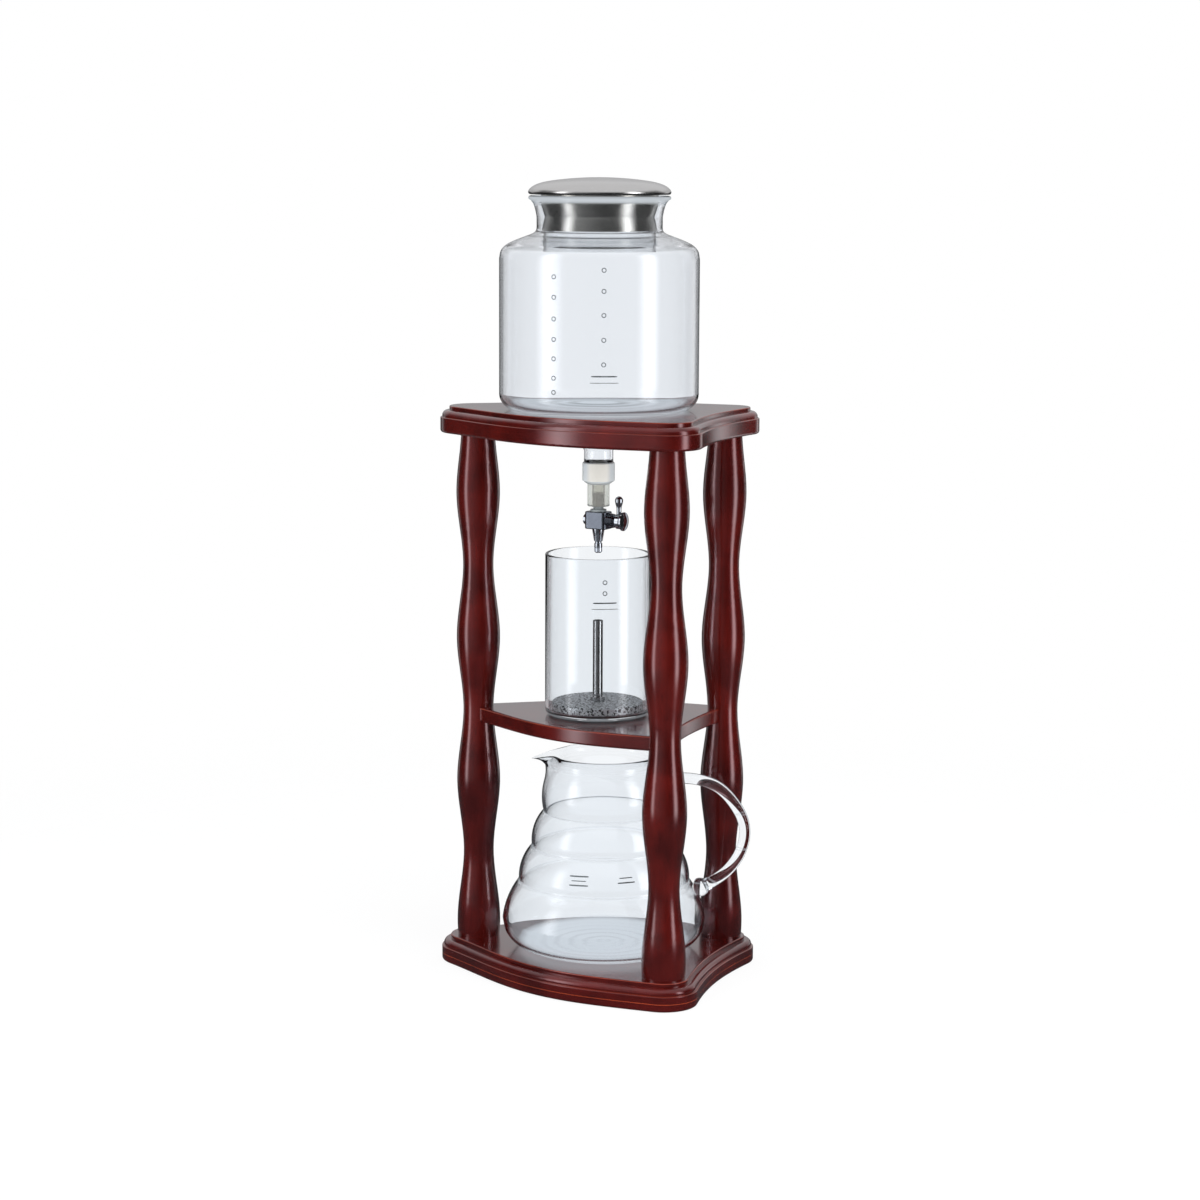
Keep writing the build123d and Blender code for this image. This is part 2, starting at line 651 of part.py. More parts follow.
def cock_body():
    """Rounded block with a tapered cross bore and a boss on the lever side."""
    block = Box(block_len, block_depth, block_h)
    block = fillet(block.edges().filter_by(Axis.Z), block_round)
    ends = block.faces().sort_by(Axis.Z)
    block = fillet(ends[-1].edges() + ends[0].edges(), block_edge_round)
    block = Pos(0, 0, spindle_z) * Rot(0, 0, spindle_angle) * block
    half = block_len / 2
    boss = Cone(boss_r, boss_tip_r, boss_len + boss_bite)
    block += along_spindle(Pos(0, 0, half + (boss_len - boss_bite) / 2) * boss)
    reach = block_len + boss_len + 2 * clear_cut
    small, big = (plug_r(s) + plug_gap for s in (-half - clear_cut, half + boss_len + clear_cut))
    block -= along_spindle(Pos(0, 0, boss_len / 2) * Cone(small, big, reach))
    block -= upright(0, 0, plug_flow_r, block_bottom - clear_cut, block_top + clear_cut)
    seat_r, seat_len = spigot_r + spigot_gap, spigot_len + spigot_room
    block -= upright(0, 0, seat_r, block_top - seat_len, block_top + clear_cut)
    return block - upright(0, 0, seat_r, block_bottom - clear_cut, block_bottom + seat_len)


def cock_plug():
    """Tapered rotor with a flow hole across it, held by the cap at its thin end."""
    left, right = -block_len / 2, block_len / 2 + boss_len
    plug = along_spindle(Pos(0, 0, (left + right) / 2) * Cone(plug_r(left), plug_r(right), right - left))
    stub = along_spindle(Pos(0, 0, left - plug_washer_t / 2) * Cylinder(plug_stub_r, plug_washer_t))
    neck = along_spindle(Pos(0, 0, right + hub_gap / 2) * Cylinder(hub_neck_r, hub_gap))
    half = plug_big_r + clear_cut
    return plug + stub + neck - upright(0, 0, plug_flow_r, spindle_z - half, spindle_z + half)


def cock_hub():
    """Lever hub: a barrel that swells from the spindle and ends in a domed disc."""
    s0 = block_len / 2 + boss_len + hub_gap
    s1, s2 = s0 + hub_len, s0 + hub_len + knob_t
    turn_in, groove = (s1 - back for back in hub_groove)
    groove_r, crown_foot = hub_r - hub_step, s2 - knob_crown_h
    hub = turned(*rz((0, s0), (hub_neck_r, s0), (hub_r, s0 + hub_swell_len), (hub_r, turn_in),
                     (groove_r, groove), (groove_r, s1), (knob_r - hub_step, s1), (knob_r, s1 + hub_step),
                     (knob_r, crown_foot)),
                 crown_line(0, s2, knob_r * knob_crown_bend[0], s2 - knob_crown_bend[1], knob_r, crown_foot),
                 *rz((0, s2), (0, s0)))
    hub = along_spindle(hub)
    return hub - lever_seat()


def lever_middle():
    """Where the lever's axis crosses the spindle."""
    s = block_len / 2 + boss_len + hub_gap + hub_len / 2 + lever_offset
    return s * cos(radians(spindle_angle)), s * sin(radians(spindle_angle))


def lever_seat():
    """Blind hole in the hub for the lever's root."""
    x, y = lever_middle()
    return upright(x, y, lever_neck_r + lever_side_gap, spindle_z + lever_root_rise,
                   spindle_z + knob_r + clear_cut)


def cock_lever():
    """Pin lever: a slim neck that swells into a rounded head."""
    x, y = lever_middle()
    root, tip = spindle_z + lever_root_rise + lever_root_gap, spindle_z + lever_len
    neck, head = spindle_z + lever_neck_rise, tip - lever_head_r
    eighth = lever_head_r * sin(radians(45))
    pin = turned(*rz((0, root), (lever_neck_r, root), (lever_neck_r, neck)),
                 Spline((lever_neck_r, 0, neck), (lever_head_r, 0, head), tangents=[(0, 0, 1), (0, 0, 1)]),
                 arc3((lever_head_r, head), (eighth, head + eighth), (0, tip)),
                 *rz((0, tip), (0, root)))
    return Pos(x, y, 0) * pin


def cock_washer():
    """Washer between the block and the plug's cap."""
    ring = tube(plug_washer_r, plug_stub_r + plug_washer_gap, 0, plug_washer_t)
    return along_spindle(Pos(0, 0, -block_len / 2 - plug_washer_t) * ring)


def cock_cap():
    """Slotted cap that holds the plug in its bore."""
    s = -block_len / 2 - plug_washer_t - plug_cap_t
    cap = Pos(0, 0, s + plug_cap_t / 2) * Cylinder(plug_cap_r, plug_cap_t)
    cap = chamfer(rim_edges(cap, s), plug_cap_ease)
    slot = Box(cap_slot_w, 2 * (plug_cap_r + clear_cut), 2 * cap_slot_depth)
    return along_spindle(cap - Pos(0, 0, s) * slot)


nodes["silicone_joint"] = silicone_joint()
nodes["cock_stem"] = cock_stem()
nodes["cock_body"] = cock_body()
nodes["cock_nozzle"] = cock_nozzle()
nodes["cock_plug"] = cock_plug()
nodes["cock_washer"] = cock_washer()
nodes["cock_cap"] = cock_cap()
nodes["cock_hub"] = cock_hub()
nodes["cock_lever"] = cock_lever()


# ---------------------------------------------------------------- strainer and filter
def strainer_glass():
    """Straight glass beaker with a fused drain in the middle of its floor."""
    z0, z1 = shelf_top, shelf_top + strainer_h
    r, t, c = strainer_r, strainer_wall, strainer_bottom_round
    bend = 1 - sin(radians(45))
    ci = c - t
    floor_z = z0 + strainer_floor_t
    tip_z = z0 - drain_drop
    return turned(arc3((r - c, z0), (r - c * bend, z0 + c * bend), (r, z0 + c)),
                  *rz((r, z0 + c), (r, z1 - t / 2)),
                  arc3((r, z1 - t / 2), (r - t / 2, z1), (r - t, z1 - t / 2)),
                  *rz((r - t, z1 - t / 2), (r - t, floor_z + ci)),
                  arc3((r - t, floor_z + ci), (r - t - ci * bend, floor_z + ci * bend),
                       (r - t - ci, floor_z)),
                  *rz((r - t - ci, floor_z), (drain_bore_r, floor_z), (drain_bore_r, tip_z + drain_tip_h),
                      (drain_bore_r - drain_tip_in, tip_z), (drain_r - drain_tip_out, tip_z),
                      (drain_r, tip_z + drain_tip_h), (drain_r, z0 - drain_root), (drain_r + drain_root, z0),
                      (r - c, z0)))


def filter_mesh():
    """Woven cap over the filter's top and side."""
    z0, z1, r, t, c = filter_foot + filter_base_t, filter_top, filter_r, mesh_t, mesh_round
    bend = 1 - sin(radians(45))
    inner = c - t
    hole = tube_r + tube_gap
    return turned(*rz((r - t, z0), (r, z0), (r, z1 - c)),
                  arc3((r, z1 - c), (r - c * bend, z1 - c * bend), (r - c, z1)),
                  *rz((r - c, z1), (hole, z1), (hole, z1 - t), (r - c, z1 - t)),
                  arc3((r - c, z1 - t), (r - t - inner * bend, z1 - t - inner * bend), (r - t, z1 - c)),
                  *rz((r - t, z1 - c), (r - t, z0)))


def filter_support():
    """Perforated plate under the mesh."""
    z1 = filter_top - mesh_t
    edge_r = filter_r - mesh_t - support_side_gap
    plate = tube(edge_r, tube_r + tube_gap, z1 - support_t, z1)
    room = edge_r - 1.5 * support_hole_r - support_first_ring_r
    for ring in range(int(room / support_ring_pitch) + 1):
        ring_r = support_first_ring_r + ring * support_ring_pitch
        holes = Sketch() + [spot * Circle(support_hole_r) for spot in PolarLocations(ring_r, 6 * (ring + 1))]
        plate -= Pos(0, 0, z1 - support_t) * extrude(holes, support_t)
    return plate


def filter_foot_ring():
    """Turned ring that the mesh is rolled over."""
    z = filter_foot
    rim = filter_r + filter_base_lip
    inner_r = filter_r - filter_base_w
    return turned(*rz((inner_r, z), (rim - filter_base_lip, z), (rim, z + filter_base_lip),
                      (rim, z + filter_base_t), (inner_r, z + filter_base_t), (inner_r, z)))


def filter_tube():
    """Upright air tube that is also the filter's grip; slots across its root let the coffee drain."""
    z1 = filter_top - mesh_t - support_t
    top_z = filter_top + tube_h
    bore = tube_r - tube_wall
    grip = turned(*rz((bore, filter_foot), (tube_root_r, filter_foot), (tube_root_r, z1), (tube_r, z1),
                      (tube_r, top_z), (bore, top_z), (bore, filter_foot)))
    for angle in (0, 90):
        slot = Box(2 * (tube_root_r + clear_cut), root_slot_w, root_slot_h,
                   align=(Align.CENTER, Align.CENTER, Align.MIN))
        grip -= Pos(0, 0, filter_foot) * Rot(0, 0, angle) * slot
    return grip


def filter_nut():
    """Collar that clamps the mesh to the tube's root, with a pin hole across it."""
    nut = tube(nut_r, tube_r + tube_gap, filter_top, filter_top + nut_h)
    return chamfer(rim_edges(nut, filter_top + nut_h, low_r=nut_r - nut_ease), nut_ease)


nodes["strainer_glass"] = strainer_glass()
nodes["filter_mesh"] = filter_mesh()
nodes["filter_support"] = filter_support()
nodes["filter_foot_ring"] = filter_foot_ring()
nodes["filter_tube"] = filter_tube()
nodes["filter_nut"] = filter_nut()


# ---------------------------------------------------------------- server
def server_form(t):
    """Solid of the ringed flask, moved in by a wall of t; each ring is an arc between two grooves."""
    floor = server_floor_t if t else 0.0

    def place(point):
        return point[0] - t, server_foot + point[1]

    foot = (server_foot_r - t, server_foot + floor)
    belly = place(server_belly)
    grooves = [belly] + [place(p) for p in server_rings]
    edges = [*rz((0, foot[1]), foot)]
    edges.append(Spline((foot[0], 0, foot[1]), (belly[0], 0, belly[1]), tangents=[(1, 0, 0), (0, 0, 1)]))
    for low, swell, high in zip(grooves, server_swells, grooves[1:]):
        edges.append(arc3(low, place(swell), high))
    neck = place(server_neck)
    edges.append(arc3(grooves[-1], place(server_swells[-1]), neck))
    rim = place(server_rim)
    above = [(rim[0], rim[1] + server_cut_rise)] if t else []
    top_z = (above or [rim])[-1][1]
    edges += rz(neck, rim, *above, (0, top_z), (0, foot[1]))
    return turned(*edges)


def server_spout(t):
    """Pouring lip: a half funnel that leans out of the rim."""
    top_z = server_foot + server_rim[1] + (server_cut_rise if t else 0.0)
    root = Plane(origin=(-spout_root_x + t, 0, top_z - spout_drop)) * Circle(max(spout_root_r - t / 2, 0.5))
    mouth = Plane(origin=(-spout_reach + spout_r, 0, top_z)) * Circle(spout_r - t)
    return loft([root.face(), mouth.face()])


def server_handle(body):
    """Round glass rod bent into an ear, fused to the flask at two drops."""
    def at(distance, height):
        return Vector(distance, 0, height)

    top = at(server_neck[0] - handle_top_in, server_foot + handle_top_h)
    low = at(server_belly[0] - handle_low_in, server_foot + handle_low_h)
    far = at(handle_reach - handle_r, server_foot + handle_far_h)
    path = Spline(top, top + at(*handle_top_run), far,
                  at(far.X - handle_low_run[0], low.Z + handle_low_run[1]), low,
                  tangents=[(1, 0, 0.35), (-0.9, 0, -0.55)])
    rod = sweep(Plane(origin=path @ 0, z_dir=path % 0) * Circle(handle_r), path=path)
    for end, out in ((top, handle_top_blob), (low, handle_low_blob)):
        rod += Pos(*(end + at(*out))) * Sphere(handle_blob_r)
    return rod - body


flask = server_form(0.0) + server_spout(0.0)
on_base = Pos(*server_at, 0) * Rot(0, 0, server_angle)
nodes["server_handle"] = on_base * server_handle(flask)
nodes["server_glass"] = on_base * (flask - server_form(server_wall) - server_spout(server_wall))

for name, part in nodes.items():
    export_step(part, f"parts/{name}.step")
    print(f"{name:18s} solids {len(part.solids())}  volume {part.volume:10.1f}")
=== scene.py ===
"""Cold drip coffee tower: glassware, woven filter, marks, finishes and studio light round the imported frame.

Everything is in metres; tables of points are in millimetres and are scaled by mm where they are used.
"""
from math import cos, pi, radians, sin
import bpy
import numpy as np
from mathutils import Matrix, Vector


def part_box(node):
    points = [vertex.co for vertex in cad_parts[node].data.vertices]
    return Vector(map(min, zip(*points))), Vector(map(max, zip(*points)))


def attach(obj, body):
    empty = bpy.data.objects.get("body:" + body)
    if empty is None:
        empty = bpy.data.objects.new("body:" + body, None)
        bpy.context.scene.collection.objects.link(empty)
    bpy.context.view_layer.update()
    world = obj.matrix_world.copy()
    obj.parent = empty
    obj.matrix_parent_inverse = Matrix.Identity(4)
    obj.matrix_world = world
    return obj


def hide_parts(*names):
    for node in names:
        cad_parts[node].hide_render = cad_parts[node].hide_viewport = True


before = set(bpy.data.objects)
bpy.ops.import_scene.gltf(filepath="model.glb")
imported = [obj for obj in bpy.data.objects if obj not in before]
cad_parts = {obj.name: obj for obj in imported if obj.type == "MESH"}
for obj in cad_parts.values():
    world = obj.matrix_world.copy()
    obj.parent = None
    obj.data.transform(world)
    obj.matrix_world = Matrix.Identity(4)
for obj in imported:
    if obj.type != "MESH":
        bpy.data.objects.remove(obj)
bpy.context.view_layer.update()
mm = 0.001

# ---------------------------------------------------------------- places taken from the frame
plate_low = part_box("top_plate")[0].z
plate_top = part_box("top_plate")[1].z
base_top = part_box("base_plate")[1].z
shelf_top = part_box("middle_shelf")[1].z
lip_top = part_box("water_jar")[1].z
joint_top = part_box("silicone_joint")[1].z
mesh_low, mesh_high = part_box("filter_mesh")
server_middle = sum(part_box("server_glass"), Vector()) / 2

front = radians(-69.4)       # azimuth of the side that is looked at
handle_angle = radians(14.0)
glass_steps = 256            # faces round a piece of glassware
cloth_steps = 480            # faces round the woven filter
jar_radius = 66.5 * mm
cup_radius = 35.6 * mm
server_grooves = ((58.1, 46.7), (49.3, 70.5), (41.4, 94.7))  # (radius, height above the base) in mm


# ---------------------------------------------------------------- surfaces
def link(name, mesh, body, material):
    """An object at the origin for a finished mesh; it rides on a body and takes a finish."""
    piece = bpy.data.objects.new(name, mesh)
    bpy.context.scene.collection.objects.link(piece)
    mesh.materials.clear()
    mesh.materials.append(material)
    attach(piece, body)
    return piece


def grid_mesh(name, points, wrap_rows=False, sharp=35.0):
    """Mesh over a grid of points, rows by columns, closed round the columns.

    Each cell is a quad of neighbours. A first or last row whose points coincide becomes a pole, so
    its cells are triangles. The faces are turned so that the signed volume they enclose is positive.
    """
    rows, columns = points.shape[:2]
    index = np.arange(rows * columns).reshape(rows, columns)
    for row in (0, rows - 1):
        if np.ptp(points[row], axis=0).max() < 1e-9:
            index[row] = index[row, 0]
    low, high = (index, np.roll(index, -1, axis=0)) if wrap_rows else (index[:-1], index[1:])
    quads = np.stack([low, np.roll(low, -1, axis=1), np.roll(high, -1, axis=1), high], -1).reshape(-1, 4)
    flat = points.reshape(-1, 3)
    a, b, c, d = (flat[quads[:, k]] for k in range(4))
    volume = np.einsum("ij,ij->", a, np.cross(b, c)) + np.einsum("ij,ij->", a, np.cross(c, d))
    if volume < 0:
        quads = quads[:, ::-1]
    used, packed = np.unique(quads, return_inverse=True)
    packed = packed.reshape(quads.shape)
    whole = (packed != np.roll(packed, 1, axis=1)).all(axis=1)
    faces = packed[whole].tolist() + [list(dict.fromkeys(face)) for face in packed[~whole].tolist()]
    mesh = bpy.data.meshes.new(name)
    mesh.from_pydata(flat[used], [], faces)
    mesh.polygons.foreach_set("use_smooth", np.ones(len(mesh.polygons), bool))
    mesh.set_sharp_from_angle(angle=radians(sharp))
    return mesh


def round_angles(steps):
    """Even angles once round, the first at 0."""
    return np.linspace(0, 2 * pi, steps, endpoint=False)


def around(radius, height, steps=glass_steps):
    """Grid of points for a turned surface: each (radius, height) goes round Z at even angles."""
    angle = round_angles(steps)
    return np.stack([np.outer(radius, np.cos(angle)), np.outer(radius, np.sin(angle)),
                     np.repeat(np.asarray(height)[:, None], steps, 1)], -1)


def turned(profile, level):
    """Grid of points for a (radius, height) profile turned round Z, its heights counted from a level."""
    return around(profile[:, 0], profile[:, 1] + level)


def arc(start, middle, end, count):
    """Points on the circle through three (radius, height) points, from the first to the last.

    The centre is where the perpendicular bisectors meet; the angle runs from start past middle to end.
    """
    (ax, ay), (bx, by), (cx, cy) = start, middle, end
    d = 2 * (ax * (by - cy) + bx * (cy - ay) + cx * (ay - by))
    ux = ((ax**2 + ay**2) * (by - cy) + (bx**2 + by**2) * (cy - ay) + (cx**2 + cy**2) * (ay - by)) / d
    uy = ((ax**2 + ay**2) * (cx - bx) + (bx**2 + by**2) * (ax - cx) + (cx**2 + cy**2) * (bx - ax)) / d
    first, mid, last = (np.arctan2(y - uy, x - ux) for x, y in (start, middle, end))
    sweep, part = (last - first) % (2 * pi), (mid - first) % (2 * pi)
    if part > sweep:
        sweep -= 2 * pi
    angle = first + sweep * np.linspace(0, 1, count)
    radius = np.hypot(ax - ux, ay - uy)
    return np.stack([ux + radius * np.cos(angle), uy + radius * np.sin(angle)], -1)


def flowing(points, count):
    """Smooth line through points: Catmull-Rom cubics, count points to a span, end slopes mirrored."""
    p = np.asarray(points, float)
    p = np.vstack([2 * p[0] - p[1], p, 2 * p[-1] - p[-2]])
    t = np.linspace(0, 1, count, endpoint=False)[None, :, None]
    a, b, c, d = (p[k:len(p) - 3 + k][:, None, :] for k in range(4))
    spans = 0.5 * (2 * b + (c - a) * t + (2 * a - 5 * b + 4 * c - d) * t**2
                   + (3 * b - a - 3 * c + d) * t**3)
    return np.vstack([spans.reshape(-1, p.shape[1]), p[-2]])


def eased(points, cut, count=4):
    """Line through points whose inner corners are cut back by a length and rounded by a parabola."""
    p = np.asarray(points, float)
    line = [p[:1]]
    t = np.linspace(0, 1, count + 1)[:, None]
    for before, corner, after in zip(p, p[1:], p[2:]):
        back, on = before - corner, after - corner
        near = corner + back * min(cut / np.linalg.norm(back), 0.45)
        far = corner + on * min(cut / np.linalg.norm(on), 0.45)
        line.append((1 - t)**2 * near + 2 * t * (1 - t) * corner + t**2 * far)
    return np.vstack([*line, p[-1:]])


# ---------------------------------------------------------------- shader values
class Flow:
    """A socket of a material's node tree; arithmetic on it adds the Math nodes that work it out."""

    def __init__(self, tree, socket=None):
        self.tree, self.socket = tree, socket

    def node(self, kind, sockets, output=0, **settings):
        """A new node: its settings are made first, then its sockets get their values or links."""
        made = self.tree.nodes.new("ShaderNode" + kind)
        for key, value in settings.items():
            setattr(made, key, value)
        for key, value in sockets.items():
            if isinstance(value, Flow):
                self.tree.links.new(value.socket, made.inputs[key])
            else:
                made.inputs[key].default_value = value
        return Flow(self.tree, made.outputs[output])

    def math(self, operation, *values):
        """A Math node over values or flows."""
        return self.node("Math", dict(enumerate(values)), operation=operation)

    def __add__(self, other):
        return self.math("ADD", self, other)

    def __sub__(self, other):
        return self.math("SUBTRACT", self, other)

    def __rsub__(self, other):
        return self.math("SUBTRACT", other, self)

    def __mul__(self, other):
        return self.math("MULTIPLY", self, other)

    def __truediv__(self, other):
        return self.math("DIVIDE", self, other)

    __radd__ = __add__
    __rmul__ = __mul__

    def between(self, low, high):
        """0 below low and 1 above high, with a smooth step between them."""
        return self.node("MapRange", {"Value": self, "From Min": low, "From Max": high},
                         interpolation_type="SMOOTHSTEP")

    def band(self, low, high, share):
        """1 from low to high and 0 outside; the soft edges lie inside, each a share of the width."""
        soft = (high - low) * share
        return self.between(low, low + soft) * (1.0 - self.between(high - soft, high))

    def clipped(self):
        """Held between 0 and 1."""
        return self.node("Clamp", {"Value": self})


def tinted(low, high, factor):
    """Colour mix: low where the factor is 0, high where it is 1; each is a flow or three numbers."""
    low, high = (colour if isinstance(colour, Flow) else (*colour, 1.0) for colour in (low, high))
    return factor.node("Mix", {0: factor, 6: low, 7: high}, output=2, data_type="RGBA")


def shaded(colour, share):
    """The colour's three numbers times a share."""
    return tuple(value * share for value in colour)


def new_material(name, **constants):
    """A material with one Principled shader whose constant sockets are set directly."""
    material = bpy.data.materials.new(name)
    material.use_nodes = True
    tree = material.node_tree
    shader = tree.nodes["Principled BSDF"]
    for key, value in constants.items():
        socket = shader.inputs[key.replace("_", " ")]
        socket.default_value = (*value, 1.0) if isinstance(value, tuple) else value
    return material, Flow(tree), shader


def feed(flow, shader, socket):
    """Links a flow to a shader's socket."""
    flow.tree.links.new(flow.socket, shader.inputs[socket])


def mixed(start, factor, shader, other):
    """Shader that turns from a Principled shader into another as the factor goes from 0 to 1."""
    return start.node("MixShader", {0: factor, 1: Flow(start.tree, shader.outputs[0]), 2: other})


def shown(flow):
    """Makes a mixed shader the one that its material shows."""
    feed(flow, flow.tree.nodes["Material Output"], "Surface")


def place(start, scale=(1.0, 1.0, 1.0)):
    """Object coordinates, stretched along the axes by a Mapping node."""
    where = start.node("TexCoord", {}, output=3)
    return start.node("Mapping", {"Vector": where, "Scale": scale})


def axes(start):
    """Object coordinates as three flows."""
    split = start.node("SeparateXYZ", {"Vector": place(start)}).socket.node
    return [Flow(start.tree, socket) for socket in split.outputs]


def noise(start, scale, at=None, detail=3.0, roughness=0.5, distortion=0.0):
    """Noise value between 0 and 1, read at a vector or at the object coordinates."""
    return start.node("TexNoise", {"Vector": at or place(start), "Scale": scale, "Detail": detail,
                                   "Roughness": roughness, "Distortion": distortion})


def bumped(flow, shader, strength, distance):
    """Turns a height into the shader's normal."""
    feed(flow.node("Bump", {"Height": flow, "Strength": strength, "Distance": distance}), shader, "Normal")


# ---------------------------------------------------------------- finishes
stain_dark, stain_red = (0.029, 0.0014, 0.0009), (0.082, 0.0038, 0.0019)
# The last colour is orange: thinned stain on the base's scribed line, and a painted highlight on rounded
# edges.
stain_in_pores, worn_stain_and_edge_highlight = (0.014, 0.0011, 0.0009), (0.62, 0.105, 0.030)
# Grey-green of the glass seen edge on: a painted dark outline.
edge_tint_and_painted_outline = (0.40, 0.46, 0.48)


def lacquered_wood(name, grain_axis, low=0.0, scribe_and_highlight_bands=()):
    """Dark red stained wood under gloss lacquer.

    Colour is a stain mixed from dark to red by slow noise, with fine grain and pores drawn out along
    one axis. Each band (from, to, strength) is a range of heights, in mm above low, painted orange: on
    rounded edges and fillets it is a painted highlight, and on the base's scribed line it is stain
    thinned to orange.
    """
    material, start, shader = new_material(name, Coat_Weight=1.0, Coat_Roughness=0.12, Coat_IOR=1.55,
                                           IOR=1.5, Specular_IOR_Level=0.7,
                                           Specular_Tint=(1.0, 0.30, 0.36))
    fine = tuple(14.0 if axis == grain_axis else 260.0 for axis in "XYZ")
    drawn_out = tuple(60.0 if axis == grain_axis else 1500.0 for axis in "XYZ")
    cloud = noise(start, 34.0, detail=2.0, distortion=0.4).between(0.3, 0.72)
    grain = noise(start, 1.0, place(start, fine), detail=5.0, roughness=0.6, distortion=0.6)
    pore = noise(start, 1.0, place(start, drawn_out), detail=2.0).between(0.60, 0.74)
    colour = tinted(stain_dark, stain_red, cloud * 0.75 + grain.between(0.3, 0.7) * 0.25)
    colour = tinted(colour, stain_in_pores, pore * 0.45)
    height = axes(start)[2]
    # Orange bands: painted highlights along rounded edges and fillets, and the base's scribed line where the
    # stain thins.
    for first, last, strength in scribe_and_highlight_bands:
        orange_band_mask = height.band(low + first * mm, low + last * mm, 0.45)
        colour = tinted(colour, worn_stain_and_edge_highlight, orange_band_mask * strength * (0.55 + 0.45 * cloud))
    feed(colour, shader, "Base Color")
    feed(0.20 + 0.10 * grain, shader, "Roughness")
    bumped(grain * 0.6 + pore * -0.4, shader, 0.08, 0.2 * mm)
    return material


def clear_glass(name, tint, glints, floor=None):
    """Blown heatproof glass: a cold tint that deepens to grey-green where the wall is seen edge on, partly the
    glass's own tint and partly a painted dark outline, and faint waves.

    A share of the glass is a pale glow, an emission that paints light on it: in glints, bands of height
    (low, high, share), which are painted highlights, and in a floor (top, middle x, y, radius, pitch,
    share), a painted bright floor where rings of the sine of distance / pitch run round the middle.
    """
    material, start, shader = new_material(name, Transmission_Weight=1.0, IOR=1.42, Roughness=0.0)
    facing = start.node("LayerWeight", {"Blend": 0.5}, output=1)
    # Edge on, the colour turns grey-green: a painted dark outline over the glass's own deeper tint.
    feed(tinted(tint, edge_tint_and_painted_outline, facing.between(0.79, 0.93)), shader, "Base Color")
    bumped(noise(start, 38.0, place(start, (1.0, 1.0, 0.5)), detail=1.0), shader, 0.035, 2.0 * mm)
    x, y, z = axes(start)
    painted_glow = sum(z.band(low, high, 0.4) * share for low, high, share in glints)
    if floor:
        top, middle_x, middle_y, radius, pitch, share = floor
        x, y = x - middle_x, y - middle_y
        away = start.math("SQRT", x * x + y * y)
        wave = start.math("SINE", away / pitch + 5.0 * noise(start, 26.0))
        inside = z.between(top - 8.0 * mm, top - 7.5 * mm) * (1.0 - z.between(top - 1.0 * mm, top))
        rings = 0.76 + 0.24 * wave * (1.0 - away.between(radius * 0.5, radius * 0.9))
        painted_glow = painted_glow + inside * (1.0 - away.between(radius * 0.86, radius)) * rings * share
    # The glow is a pale emission: a painted highlight on the glints and painted brightness on the floor.
    glow_emission = start.node("Emission", {"Color": (0.86, 0.92, 0.98, 1.0), "Strength": 0.80})
    shown(mixed(start, painted_glow.clipped(), shader, glow_emission))
    return material


def brushed_metal(name, colour, roughness, stroke, metallic=1.0):
    """Metal with fine strokes: noise drawn out by the stroke scales varies roughness and height."""
    material, start, shader = new_material(name, Metallic=metallic)
    lines = noise(start, 1.0, place(start, stroke), detail=4.0, roughness=0.65)
    cloud = noise(start, 60.0, detail=2.0)
    feed(tinted(shaded(colour, 0.86), colour, lines.between(0.25, 0.75)), shader, "Base Color")
    feed(roughness + 0.04 * lines + 0.03 * cloud, shader, "Roughness")
    bumped(lines, shader, 0.01, 0.1 * mm)
    return material


def circled_metal(name, colour, roughness, metallic, rim=None):
    """Spun metal: strokes run round Z, so the noise is read at (radius, height); painted shade darkens it
    below a rim height.
    """
    material, start, shader = new_material(name, Metallic=metallic)
    x, y, z = axes(start)
    radius = start.math("SQRT", x * x + y * y)
    across = 2600.0              # strokes are far finer across than along
    where = start.node("CombineXYZ", {"X": radius * across, "Y": z * across,
                                      "Z": start.math("ARCTAN2", y, x) * 3.0})
    lines = noise(start, 1.0, where, roughness=0.7)
    tone = tinted(shaded(colour, 0.94), colour, lines.between(0.3, 0.7))
    # Below the rim height the colour is darkened to 0.12 of itself: a painted shade under the rolled rim.
    if rim:
        tone = tinted(shaded(colour, 0.12), tone, z.between(rim - 0.4 * mm, rim + 0.2 * mm))
    feed(tone, shader, "Base Color")
    feed(roughness + 0.03 * lines, shader, "Roughness")
    bumped(lines, shader, 0.004, 0.1 * mm)
    return material


def wire_cloth(name):
    """Dense wire cloth: painted highlights on bright crossings over painted shade in dark gaps, a speckle of
    fine noise at the wires' size.
    """
    material, start, shader = new_material(name, Metallic=0.45)
    speckle = noise(start, 620.0, detail=2.0, roughness=0.6)
    wide = noise(start, 260.0, detail=2.0)
    # The speckle is painted light: bright patches are painted glints on the wires, dark ones painted shade in
    # the gaps.
    lit = (speckle * 0.8 + wide * 0.2).between(0.42, 0.52)
    feed(tinted((0.050, 0.053, 0.058), (0.86, 0.88, 0.90), lit), shader, "Base Color")
    feed(0.30 + 0.15 * wide, shader, "Roughness")
    bumped(speckle, shader, 0.6, 0.6 * mm)
    return material


